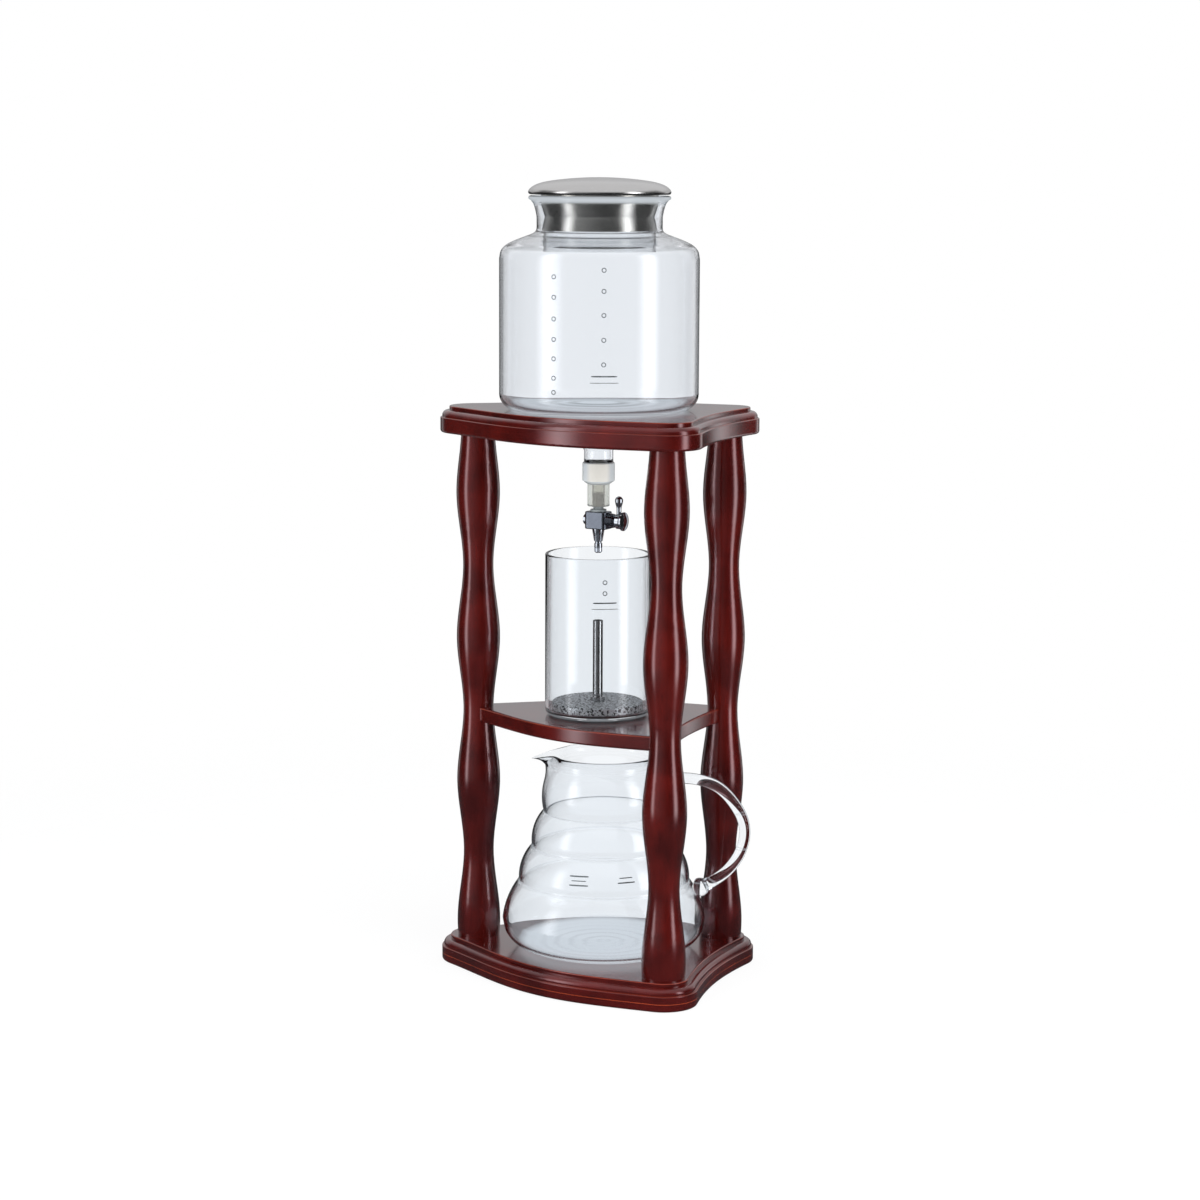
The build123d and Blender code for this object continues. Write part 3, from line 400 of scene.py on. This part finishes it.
def milky_silicone(name, low, high):
    """Translucent silicone: milky and slightly yellow above, clearing to grey between two heights; painted
    shade greys its outline.
    """
    material, start, shader = new_material(name, Transmission_Weight=0.20, IOR=1.41, Roughness=0.25)
    cloud = noise(start, 220.0, detail=2.0)
    facing = start.node("LayerWeight", {"Blend": 0.5}, output=1)
    body = tinted((0.93, 0.905, 0.83), (0.99, 0.965, 0.90), cloud)
    # Towards the outline the colour cools to bluish and then to grey: the grey is a painted shade where the
    # sleeve is seen edge on.
    body = tinted(body, (0.86, 0.91, 0.94), facing.between(0.10, 0.40))
    feed(tinted(body, (0.60, 0.66, 0.66), facing.between(0.62, 0.9)), shader, "Base Color")
    bumped(cloud, shader, 0.04, 0.2 * mm)
    clear = start.node("BsdfRefraction", {"Color": (0.80, 0.81, 0.78, 1.0), "Roughness": 0.12, "IOR": 1.2})
    shown(mixed(start, (1.0 - axes(start)[2].between(low, high)) * 0.75, shader, clear))
    return material


def clear_silicone(name):
    """Clear moulded silicone with a soft, slightly cloudy surface."""
    material, start, shader = new_material(name, Transmission_Weight=0.96, IOR=1.16)
    cloud = noise(start, 160.0, detail=2.0)
    feed(tinted((0.95, 0.965, 0.98), (0.99, 0.995, 1.0), cloud), shader, "Base Color")
    feed(0.04 + 0.05 * cloud, shader, "Roughness")
    bumped(cloud, shader, 0.03, 0.2 * mm)
    return material


def plain_finish(name, colour, roughness, fleck=0.06, metallic=0.0):
    """Small hidden parts: a plain colour with a slight machined or moulded unevenness."""
    material, start, shader = new_material(name, Metallic=metallic)
    cloud = noise(start, 700.0)
    feed(tinted(shaded(colour, 1 - 3 * fleck), colour, cloud), shader, "Base Color")
    feed(roughness + fleck * cloud, shader, "Roughness")
    bumped(cloud, shader, 0.05, 0.1 * mm)
    return material


# Orange bands: 5.1 to 5.8 mm on the base is its scribed line; the bands at 10.1 to 11.0 and 17.2 to 18.0 mm
# and the shelf's band just under its top are painted highlights on rounded edges and fillets.
wood_base = lacquered_wood("lacquered_wood_base", "X", 0.0, (
    (5.1, 5.8, 0.55), (10.1, 11.0, 0.12), (17.2, 18.0, 0.22)))
wood_top = lacquered_wood("lacquered_wood_top", "X", plate_low, ((10.1, 11.0, 0.12), (17.2, 18.0, 0.2)))
wood_shelf = lacquered_wood("lacquered_wood_shelf", "X", shelf_top, ((-1.3, -0.2, 0.22),))
wood_leg = lacquered_wood("lacquered_wood_leg", "Z")

# The jar's lip and its rippled floor glow: a painted highlight and a painted bright floor.
jar_glass = clear_glass(
    "jar_glass", (0.935, 0.955, 0.98), [(lip_top - 4.2 * mm, lip_top + 0.2 * mm, 0.55)],
    floor=(plate_top + 4.5 * mm, 0.0, 0.0, 62.0 * mm, 2.1 * mm, 0.80))
# The strainer's foot glows faintly: a painted highlight.
cup_glass = clear_glass(
    "strainer_glass", (0.93, 0.955, 0.98), [(shelf_top + 0.6 * mm, shelf_top + 3.6 * mm, 0.14)])
# The server's grooves and foot glow as painted highlights; its floor glows as a painted bright floor.
jug_glints = [(base_top + (height - 0.6) * mm, base_top + (height + 0.8) * mm, 0.26)
              for _, height in server_grooves]
jug_glints.append((base_top + 0.4 * mm, base_top + 4.5 * mm, 0.25))
jug_glass = clear_glass(
    "server_glass", (0.93, 0.955, 0.98), jug_glints,
    floor=(base_top + 6.0 * mm, server_middle.x, server_middle.y, 60.0 * mm, 1.5 * mm, 0.90))

fine_all_round, fine_upright = (300.0, 300.0, 300.0), (300.0, 300.0, 20.0)
# The dome is darkened below lip_top + 2.2 mm: a painted shade line at its rim.
lid_metal = circled_metal("spun_lid_steel", (0.76, 0.75, 0.74), 0.20, 0.97, lip_top + 2.2 * mm)
collar_metal = circled_metal("spun_collar_steel", (0.52, 0.505, 0.465), 0.22, 0.95)
cock_metal = brushed_metal("plated_cock", (0.62, 0.66, 0.72), 0.06, fine_all_round)
block_metal = brushed_metal("plated_block", (0.185, 0.205, 0.245), 0.20, fine_all_round)
tube_metal = brushed_metal("drawn_tube_steel", (0.55, 0.55, 0.55), 0.12, fine_upright, 0.95)
wire_metal = wire_cloth("woven_wire_steel")
sleeve_step = joint_top - 12.3 * mm
silicone = milky_silicone("milky_silicone", sleeve_step - 3.0 * mm, sleeve_step + 0.5 * mm)
seal_silicone = clear_silicone("clear_seal_silicone")
stem_finish = plain_finish("moulded_stem", (0.30, 0.33, 0.34), 0.35)
washer_finish = plain_finish("moulded_washer", (0.85, 0.85, 0.83), 0.40)
raw_wood = plain_finish("raw_dowel_wood", (0.55, 0.36, 0.20), 0.60, 0.12)
zinc = plain_finish("plated_screw", (0.58, 0.58, 0.60), 0.32, 0.05, 1.0)
brass = plain_finish("turned_brass", (0.78, 0.56, 0.25), 0.28, 0.05, 1.0)
print_grey = plain_finish("printed_mark", (0.10, 0.115, 0.125), 0.55)

finish_of = {
    "base_plate": wood_base, "top_plate": wood_top, "middle_shelf": wood_shelf,
    "leg_left": wood_leg, "leg_front": wood_leg, "leg_back": wood_leg,
    "leg_dowels": raw_wood, "shelf_dowels": raw_wood, "leg_screws": zinc, "leg_inserts": brass,
    "water_jar": jar_glass, "strainer_glass": cup_glass, "server_glass": jug_glass, "server_handle": jug_glass,
    "lid_dome": lid_metal, "lid_collar": collar_metal, "lid_seal": seal_silicone,
    "silicone_joint": silicone, "cock_stem": stem_finish, "cock_washer": washer_finish,
    "cock_body": block_metal, "cock_nozzle": cock_metal, "cock_plug": cock_metal, "cock_cap": cock_metal,
    "cock_hub": cock_metal, "cock_lever": cock_metal,
    "filter_mesh": wire_metal, "filter_support": tube_metal, "filter_foot_ring": tube_metal,
    "filter_tube": tube_metal, "filter_nut": tube_metal,
}
for node_name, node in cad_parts.items():
    node.data.materials.clear()
    node.data.materials.append(finish_of[node_name])


# ---------------------------------------------------------------- glassware
def glass_piece(name, points, body, material, *stands_for, wrap_rows=True):
    """A glass piece over a grid of points, in place of its CAD nodes."""
    piece = link(name, grid_mesh(name, points, wrap_rows, sharp=50.0), body, material)
    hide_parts(*stands_for)


def jar_profile():
    """Jar wall as a closed line, up the outside and down the inside, in mm above the plate's top."""
    outlet = eased([(8.2, -46), (8.2, -35), (9.8, -35), (9.8, -27), (11.4, -24), (11.4, -1), (13.4, 1),
                    (50, 1), (52.5, 0), (55.5, 0)], 0.7)
    corner = arc((55.5, 0), (63.28, 3.22), (66.5, 11), 12)
    shoulder = flowing([(66.5, 100), (65.4, 105.3), (61.9, 109.2), (56, 112.2), (49, 114.9), (44, 116.9),
                        (41.9, 119.2), (41.7, 124), (41.9, 129), (43.6, 135.6), (45.6, 138.6)], 5)
    lip = arc((45.9, 138.8), (47.2, 140.2), (45.9, 141.6), 8)
    mouth = flowing([(44.6, 141.5), (42.6, 139.6), (41.2, 136), (40.1, 130), (39.8, 124), (39.9, 118.6),
                     (43, 115.2), (48.5, 113), (55.2, 110.4), (60.9, 107.6), (63.6, 104.6), (64.6, 100)], 5)
    inner_corner = arc((64.6, 11.7), (61.93, 5.27), (55.5, 2.6), 12)
    bore = eased([(55.5, 2.6), (12.7, 2.6), (9.7, -0.4), (9.7, -22.3), (8.1, -27), (8.1, -33.3),
                  (6.5, -35), (6.5, -46)], 0.9)
    return np.vstack([outlet[:-1], corner, shoulder, lip, mouth, inner_corner[:-1], bore]) * mm


def strainer_profile():
    """Beaker with a beaded rim and a fused drain, as a closed line in mm above the shelf's top."""
    outside = eased([(4.6, -11.4), (3.7, -13.4), (5.8, -13.4), (7, -11.4), (7, -1), (8, 0), (31.2, 0)], 0.5)
    corner = arc((31.2, 0), (34.31, 1.29), (35.6, 4.4), 8)
    bead = arc((35.6, 108.9), (34.6, 110), (33.6, 108.9), 10)
    inner_corner = arc((33.8, 5.6), (33.04, 3.76), (31.2, 3.0), 8)
    drain = eased([(31.0, 3.0), (5.4, 3.0), (4.6, 2.2), (4.6, -11)], 0.5)
    return np.vstack([outside[:-1], corner, bead, inner_corner, drain]) * mm


glass_piece("water_jar_glass", turned(jar_profile(), plate_top), "water_jar", jar_glass, "water_jar")
glass_piece("strainer_beaker", turned(strainer_profile(), shelf_top), "strainer", cup_glass, "strainer_glass")


# ---------------------------------------------------------------- lid
def lid_profile():
    """Half outline of the dome's sheet in mm above the lip: flat crown, quick shoulder, rolled rim."""
    outside = flowing([(0, 12.1), (8, 11.95), (16, 11.5), (24.2, 10.8), (32.4, 9.75), (37.5, 8.75),
                       (41.5, 7.5), (44.6, 5.9), (46.5, 4.2), (47.2, 2.9)], 6)
    rim = arc((47.2, 2.9), (46.9, 1.3), (45.6, 0.8), 8)[1:]
    curl = arc((45.6, 0.8), (44.7, 1.4), (45.0, 2.4), 5)[1:]
    inside = flowing([(45.0, 2.4), (44.2, 4.6), (41.0, 6.6), (36.9, 7.8), (31.8, 8.8), (23.8, 9.8),
                      (8, 10.9), (0, 11.1)], 5)[1:]
    return np.vstack([outside, rim, curl, inside]) * mm


dome_mesh = grid_mesh("lid_dome_shell", turned(lid_profile(), lip_top))
dome_shell = link("lid_dome_shell", dome_mesh, "lid", lid_metal)
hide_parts("lid_dome")


# ---------------------------------------------------------------- server, lengths in mm
server_wall = 2.0
server_floor = 2.6
server_high = 134.0
floor_steps = 60             # points from the middle of the floor to its heel
spout_pull = 13.2            # how far the tip of the pouring lip stands out
spout_drop = 4.6             # how far the tip bends down
spout_depth = 19.0           # how far below the rim the lip begins
spout_width = radians(13.5)


def server_line(wall):
    """Half outline of the server above the base, from its floor's middle to its rim; wall 0 is outside.

    Each ring is an arc between two grooves. The inner floor carries low ripples, a cosine of the
    radius that dies away outwards, and the outer one is hollowed by a power of the radius.
    """
    if wall:
        floor, lip = server_floor, 0.9
        across = np.linspace(0, 44.0, floor_steps)
        rise = floor + 0.28 * np.cos(across * 0.62) * np.exp(-across / 30.0)
    else:
        floor, lip = 0.0, 1.2
        across = np.linspace(0, 45.0, floor_steps)
        rise = 0.9 * (1 - (across / 45.0)**8)
    heel = flowing([(across[-1], rise[-1]), (52 - wall, 0.9 + floor * 0.75),
                    (61.5 - wall, 5.0 + floor * 0.35), (67.2 - wall, 11.8), (69.2 - wall, 20.5)], 8)[1:]
    grooves = np.array([(69.2, 20.5), *server_grooves, (36.2, 126.0)]) - [wall, 0]
    bulges = np.array([(65.4, 34.6), (57.3, 56.0), (48.9, 80.3), (42.5, 106.0)]) - [wall, 0]
    rings = [arc(*ring, 16)[1:] for ring in zip(grooves, bulges, grooves[1:])]
    rim = flowing([(36.2 - wall, 126.0), (36.0 - wall, 130.0), (37.0 - wall * 0.8, server_high - lip)], 6)[1:]
    return np.vstack([np.stack([across, rise], -1), heel, *rings, rim])


def server_points():
    """Server wall on a grid: outline times angle, then the pouring lip on the side away from +X.

    The lip moves each point outwards by pull * bell(angle) * rise(height)^2 and down a little with the
    fourth power of the rise, so the wall curls over at the tip. Either side of it is pinched in.
    """
    outer, inner = server_line(0.0), server_line(server_wall)[::-1]
    bead = arc(outer[-1], (36.6, server_high), inner[0], 8)[1:-1]
    line = np.vstack([outer, bead, inner])
    points = around(line[:, 0], line[:, 1])
    radius = np.hypot(points[..., 0], points[..., 1])
    off = np.arctan2(points[..., 1], points[..., 0]) % (2 * pi) - pi
    rise = np.clip((points[..., 2] - server_high + spout_depth) / spout_depth, 0, 1)
    bell = np.exp(-(off / spout_width)**2)
    pinch = 1.3 * np.exp(-((np.abs(off) - 2.1 * spout_width) / spout_width)**2) * rise**2
    wider = radius + spout_pull * bell * rise**2 - pinch
    scale = np.where(radius > 1e-6, wider / np.maximum(radius, 1e-6), 1.0)
    points[..., :2] *= scale[..., None]
    points[..., 2] -= spout_drop * bell * rise**4
    return points


def swept(centre, radius, steps=40):
    """Tube round a line that lies in a plane through Z: rings normal to the line, ends closed to poles.

    centre holds (distance, height) pairs; the ring's axes are the line's normal in the plane and Y.
    """
    slope = np.gradient(centre, axis=0)
    slope /= np.linalg.norm(slope, axis=1)[:, None]
    normal = np.stack([-slope[:, 1], slope[:, 0]], -1)
    angle = round_angles(steps)
    off, aside = radius[:, None] * np.cos(angle), radius[:, None] * np.sin(angle)
    rings = np.stack([centre[:, :1] + normal[:, :1] * off, aside, centre[:, 1:] + normal[:, 1:] * off], -1)
    poles = [np.tile([distance, 0.0, height], (1, steps, 1)) for distance, height in (centre[0], centre[-1])]
    return np.concatenate([poles[0], rings, poles[1]])


def handle_points():
    """Round rod bent into an ear; its radius swells into a drop at both fused ends."""
    line = flowing([(37.0, 115.6), (43.5, 117.6), (56.3, 118.4), (67.0, 117.0), (77.5, 112.9),
                    (86.6, 104.4), (93.9, 92.6), (95.9, 80.6), (92.7, 67.6), (85.0, 55.9), (74.6, 47.6),
                    (65.6, 43.0), (60.9, 41.2)], 10)
    along = np.concatenate([[0], np.cumsum(np.linalg.norm(np.diff(line, axis=0), axis=1))])
    left = along[-1] - along
    radius = 3.8 + 1.9 * np.exp(-(along / 4.0)**2) + 2.6 * np.exp(-((left - 5.5) / 4.5)**2)
    radius *= np.sqrt(1 - np.clip(1 - left / 4.0, 0, 0.99)**2)
    return swept(line, radius)


def to_server(points):
    """From the server's own frame, in mm with the handle along +X, to its place on the base."""
    turn = np.array(Matrix.Rotation(handle_angle, 3, "Z"))
    return points @ turn.T * mm + np.array([server_middle.x, server_middle.y, base_top])


glass_piece("server_jug", to_server(server_points()), "server", jug_glass, "server_glass", wrap_rows=False)
glass_piece("server_ear", to_server(handle_points()), "server", jug_glass, "server_handle", wrap_rows=False)


# ---------------------------------------------------------------- woven filter
def woven_cap():
    """Wire cloth over the filter: a disc with a hole for the tube that rolls over into a short side.

    The distance s along the radius first runs out over the top and then down the side. Over it lies
    the weave: sin(x p) sin(y p) makes the crossings, and a slower wave dents the cloth.
    """
    hole, rim, roll = 3.5 * mm, mesh_high.x, 1.2 * mm
    low, high = mesh_low.z, mesh_high.z
    flat = rim - roll
    quarter = roll * pi / 2
    side = high - low - roll
    s = np.concatenate([np.linspace(hole, flat, 84), flat + np.linspace(0.1, 1, 8) * quarter,
                        flat + quarter + np.linspace(0.1, 1, 10) * side])
    turn = np.clip((s - flat) / quarter, 0, 1) * pi / 2
    radius = np.where(s < flat, s, flat + roll * np.sin(turn))
    height = np.where(s < flat, high, high - roll * (1 - np.cos(turn))) - np.clip(s - flat - quarter, 0, None)
    points = around(radius, height, cloth_steps)
    angle = round_angles(cloth_steps)[None, :]
    x, y = s[:, None] * np.cos(angle), s[:, None] * np.sin(angle)
    wires = 2 * pi / (1.55 * mm)
    weave = np.sin(x * wires) * np.sin(y * wires) * 0.20 * mm
    dent = (np.sin(x * 900 + 1.3 * np.sin(y * 700)) * np.sin(y * 830 + 1.1 * np.sin(x * 610))) * 0.10 * mm
    lower = np.abs(weave) + np.abs(dent)
    normal = np.stack([np.sin(turn)[:, None] * np.cos(angle), np.sin(turn)[:, None] * np.sin(angle),
                       np.cos(turn)[:, None] * np.ones_like(angle)], -1)
    return points - normal * lower[..., None]


cloth_mesh = grid_mesh("filter_cloth", woven_cap(), sharp=80.0)
cloth = link("filter_cloth", cloth_mesh, "filter", wire_metal)
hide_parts("filter_mesh")


# ---------------------------------------------------------------- marks on the glass
ink_low, ink_high = 0.02, 0.09   # how far a mark's edge and its face stand off the wall, in mm


def ring_outline(outer, inner, steps=28):
    """Closed ring of four rows: inner low, inner high, outer high, outer low; the rows close round."""
    angle = round_angles(steps)[None, :]
    radius = np.array([inner, inner, outer, outer])[:, None]
    proud = np.array([ink_low, ink_high, ink_high, ink_low])[:, None] + 0 * angle
    return radius * np.cos(angle), radius * np.sin(angle), proud, True


def bar_outline(length, width, steps=28):
    """Flat bar with round ends: a superellipse of power 5 closed to a pole above and below."""
    angle = round_angles(steps)[None, :]
    size = np.array([0.0, 1.0, 1.0, 0.0])[:, None]
    u = np.sign(np.cos(angle)) * np.abs(np.cos(angle))**0.4 * length / 2
    v = np.sign(np.sin(angle)) * np.abs(np.sin(angle))**0.4 * width / 2
    proud = np.array([ink_high, ink_high, ink_low, ink_low])[:, None] + 0 * angle
    return size * u, size * v, proud, False


def mark(wall, angle, height, outline):
    """A thin printed patch on a turned wall: outline (across, up) in mm, laid round at wall(height).

    outline has one row of points per ring of the patch; across becomes an angle, across / radius.
    """
    across, up, proud = outline
    z = height + up * mm
    radius = wall(z)
    turn = front + angle + across * mm / radius
    out = radius + proud * mm
    return np.stack([out * np.cos(turn), out * np.sin(turn), z], -1)


def print_marks(name, body, wall, marks):
    """All marks (angle in degrees, height in mm, outline) of one wall as a mesh that rides with it."""
    joined = bpy.data.meshes.new(name)
    vertices, faces = [], []
    for angle, height, (*outline, rows_close) in marks:
        points = mark(wall, radians(angle), height * mm, outline)
        part = grid_mesh(name + "_part", points, rows_close, sharp=60.0)
        first = sum(len(v) for v in vertices)
        co = np.empty(len(part.vertices) * 3)
        part.vertices.foreach_get("co", co)
        vertices.append(co.reshape(-1, 3))
        faces += [[first + v for v in polygon.vertices] for polygon in part.polygons]
        bpy.data.meshes.remove(part)
    joined.from_pydata(np.vstack(vertices), [], faces)
    link(name, joined, body, print_grey)


def server_radius(z):
    """Server's outer radius at a height, read off its outline above the floor."""
    outline = server_line(0.0)[floor_steps:]
    return np.interp(z / mm - base_top / mm, outline[:, 1], outline[:, 0]) * mm


dot = ring_outline(1.60, 1.02)
jar_marks = [(-25.9, height, dot) for height in (476.2, 463.1, 449.2, 436.0, 423.5, 411.0, 401.8)]
jar_marks += [(2.9, height, dot) for height in (480.8, 467.3, 451.9, 436.0, 420.2)]
jar_marks += [(3.2, 412.6, bar_outline(17.0, 0.9)), (3.2, 408.4, bar_outline(19.0, 0.4))]
print_marks("jar_level_marks", "water_jar", lambda z: jar_radius + 0 * z, jar_marks)
print_marks("strainer_level_marks", "strainer", lambda z: cup_radius + 0 * z, [
    (7.7, 274.1, dot), (7.7, 266.8, dot), (7.7, 260.3, bar_outline(16.0, 0.9)),
    (7.7, 256.2, bar_outline(18.0, 0.4))])
print_marks("server_level_marks", "server", server_radius, [
    (-12.0, 79.5, bar_outline(13.0, 0.9)), (-12.0, 76.6, bar_outline(10.0, 0.6)),
    (-12.0, 73.7, bar_outline(13.0, 0.9)), (20.4, 78.2, bar_outline(9.0, 0.6)),
    (20.4, 75.2, bar_outline(12.0, 0.8))])


# ---------------------------------------------------------------- floor, light and camera
def ray_kinds(start):
    """(1 for rays seen straight or through glass, 1 for rays mirrored by gloss, glass or metal).

    A mirrored ray that leaves through glass still counts as mirrored, by its count of reflections.
    """
    lens, gloss, through, turns = (start.node("LightPath", {}, output=name) for name in
                                   ("Is Camera Ray", "Is Glossy Ray", "Is Transmission Ray", "Glossy Depth"))
    mirrored = turns.clipped() * (gloss + through).clipped()
    return (lens + through).clipped() * (1.0 - mirrored), mirrored


def pale_floor():
    """Matt pale floor, lifted towards white where it is seen; it keeps a soft shadow and fades out.

    The fade is a smooth step of the distance from the middle, from 0.45 m to 0.98 m, just inside the rim.
    """
    material, start, shader = new_material("pale_floor", Base_Color=(0.86, 0.86, 0.86), Roughness=0.9)
    seen, mirrored = ray_kinds(start)
    white = start.node("Emission", {"Color": (1.0, 1.0, 1.0, 1.0), "Strength": 1.0})
    dim = start.node("Emission", {"Color": (0.035, 0.035, 0.04, 1.0), "Strength": 1.0})
    clear = start.node("BsdfTransparent", {})
    distance = start.node("VectorMath", {0: place(start)}, output=1, operation="LENGTH")
    lit = mixed(start, seen * 0.88, shader, white)
    lit = start.node("MixShader", {0: mirrored * 0.97, 1: lit, 2: dim})
    shown(start.node("MixShader", {0: distance.between(0.45, 0.98), 1: lit, 2: clear}))
    angle = round_angles(96)
    mesh = bpy.data.meshes.new("floor")
    mesh.from_pydata(np.column_stack([np.cos(angle), np.sin(angle), 0 * angle]), [], [tuple(range(96))])
    mesh.materials.append(material)
    floor = bpy.data.objects.new("floor", mesh)
    bpy.context.scene.collection.objects.link(floor)


def studio_world():
    """White for what is seen, a plain grey that lights matt surfaces, and soft light panels for gloss.

    Gloss sees the direction's azimuth from the front: a dark room, tall panels with soft edges, a slope
    of light that falls off from the left panel towards the right, and a pale sky behind and above. Rays
    that are turned back inside a glass wall see some light more, so that its outline isn't black.
    """
    world = bpy.data.worlds.new("studio")
    world.use_nodes = True
    world.cycles.sampling_method = "NONE"
    bpy.context.scene.world = world
    start = Flow(world.node_tree)
    seen, mirrored = ray_kinds(start)
    ray = start.node("TexCoord", {}, output=0)
    ahead, aside = (start.node("VectorMath", {0: ray, 1: axis}, output=1, operation="DOT_PRODUCT")
                    for axis in ((cos(front), sin(front), 0.0), (-sin(front), cos(front), 0.0)))
    up = start.node("SeparateXYZ", {"Vector": ray}, output=2)
    azimuth = start.math("ARCTAN2", aside, ahead) * (180 / pi)

    def panel(middle, half, soft, strength):
        """Upright panel of light: its middle, half width and edge are angles in degrees."""
        rise = azimuth.between(middle - half - soft, middle - half + soft)
        fall = azimuth.between(middle + half - soft, middle + half + soft)
        return (rise - fall) * strength

    panels = panel(-66, 6, 9, 3.6) + panel(59, 9, 8, 3.6) + panel(140, 8, 8, 0.8) + panel(-138, 8, 8, 0.4)
    slope = azimuth.between(-72, -58) * (1.0 - azimuth.between(-66, 25))
    tall = up.between(-0.75, -0.35) * (1.0 - up.between(0.45, 0.8))
    room = 0.02 + (panels + slope * 0.30) * tall
    behind = start.math("ABSOLUTE", azimuth).between(105, 135) * up.between(0.02, 0.10)
    sky = start.math("MAXIMUM", behind, up.between(0.30, 0.75))
    room = room * (1.0 - sky) + sky * (0.47 + 0.16 * up.between(0.2, 0.4))
    crossed = start.node("LightPath", {}, output="Transmission Depth")
    turned_in_wall = crossed.clipped() * (1.0 - (crossed - 3.0).clipped())
    room = room + 0.45 * turned_in_wall
    grey = start.node("CombineColor", {0: room, 1: room, 2: room * 1.02})
    colour = tinted(tinted((0.78, 0.79, 0.81), (1.0, 1.0, 1.0), seen), grey, mirrored)
    feed(colour, world.node_tree.nodes["Background"], "Color")


def softbox(name, azimuth, distance, height, width, tall, watts, down=False):
    """Area lamp at an azimuth from the front, aimed level at the tower or down; gloss doesn't see it."""
    lamp = bpy.data.lights.new(name, "AREA")
    lamp.shape = "RECTANGLE"
    lamp.size, lamp.size_y = width, tall
    lamp.energy = watts
    fixture = bpy.data.objects.new(name, lamp)
    angle = front + radians(azimuth)
    fixture.location = (distance * cos(angle), distance * sin(angle), height)
    if not down:
        fixture.rotation_euler = (pi / 2, 0, angle + pi / 2)
    fixture.visible_glossy = False
    fixture.visible_transmission = False
    bpy.context.scene.collection.objects.link(fixture)


pale_floor()
studio_world()
softbox("left_strip", -35, 1.15, 0.36, 0.26, 1.1, 5.0)
softbox("right_strip", 45, 1.15, 0.36, 0.24, 1.1, 4.5)
softbox("overhead", 20, 0.5, 1.5, 0.9, 0.9, 18.0, down=True)

frame_px = 1200.0
focal_px = 2985.3
lens_turn = radians(20.888)
lens_tilt = radians(81.445)  # up from straight down
lens_roll = radians(0.247)
eye = (0.7103, -1.8576, 0.5564)
lens = bpy.data.cameras.new("lens")
lens.sensor_width = 36.0
lens.lens = focal_px / frame_px * lens.sensor_width
lens.clip_end = 50.0
camera = bpy.data.objects.new("camera", lens)
aim = (Matrix.Rotation(lens_turn, 4, "Z") @ Matrix.Rotation(lens_tilt, 4, "X")
       @ Matrix.Rotation(lens_roll, 4, "Z"))
camera.matrix_world = Matrix.Translation(eye) @ aim
bpy.context.scene.collection.objects.link(camera)
bpy.context.scene.camera = camera
bpy.context.scene.view_settings.view_transform = "Standard"
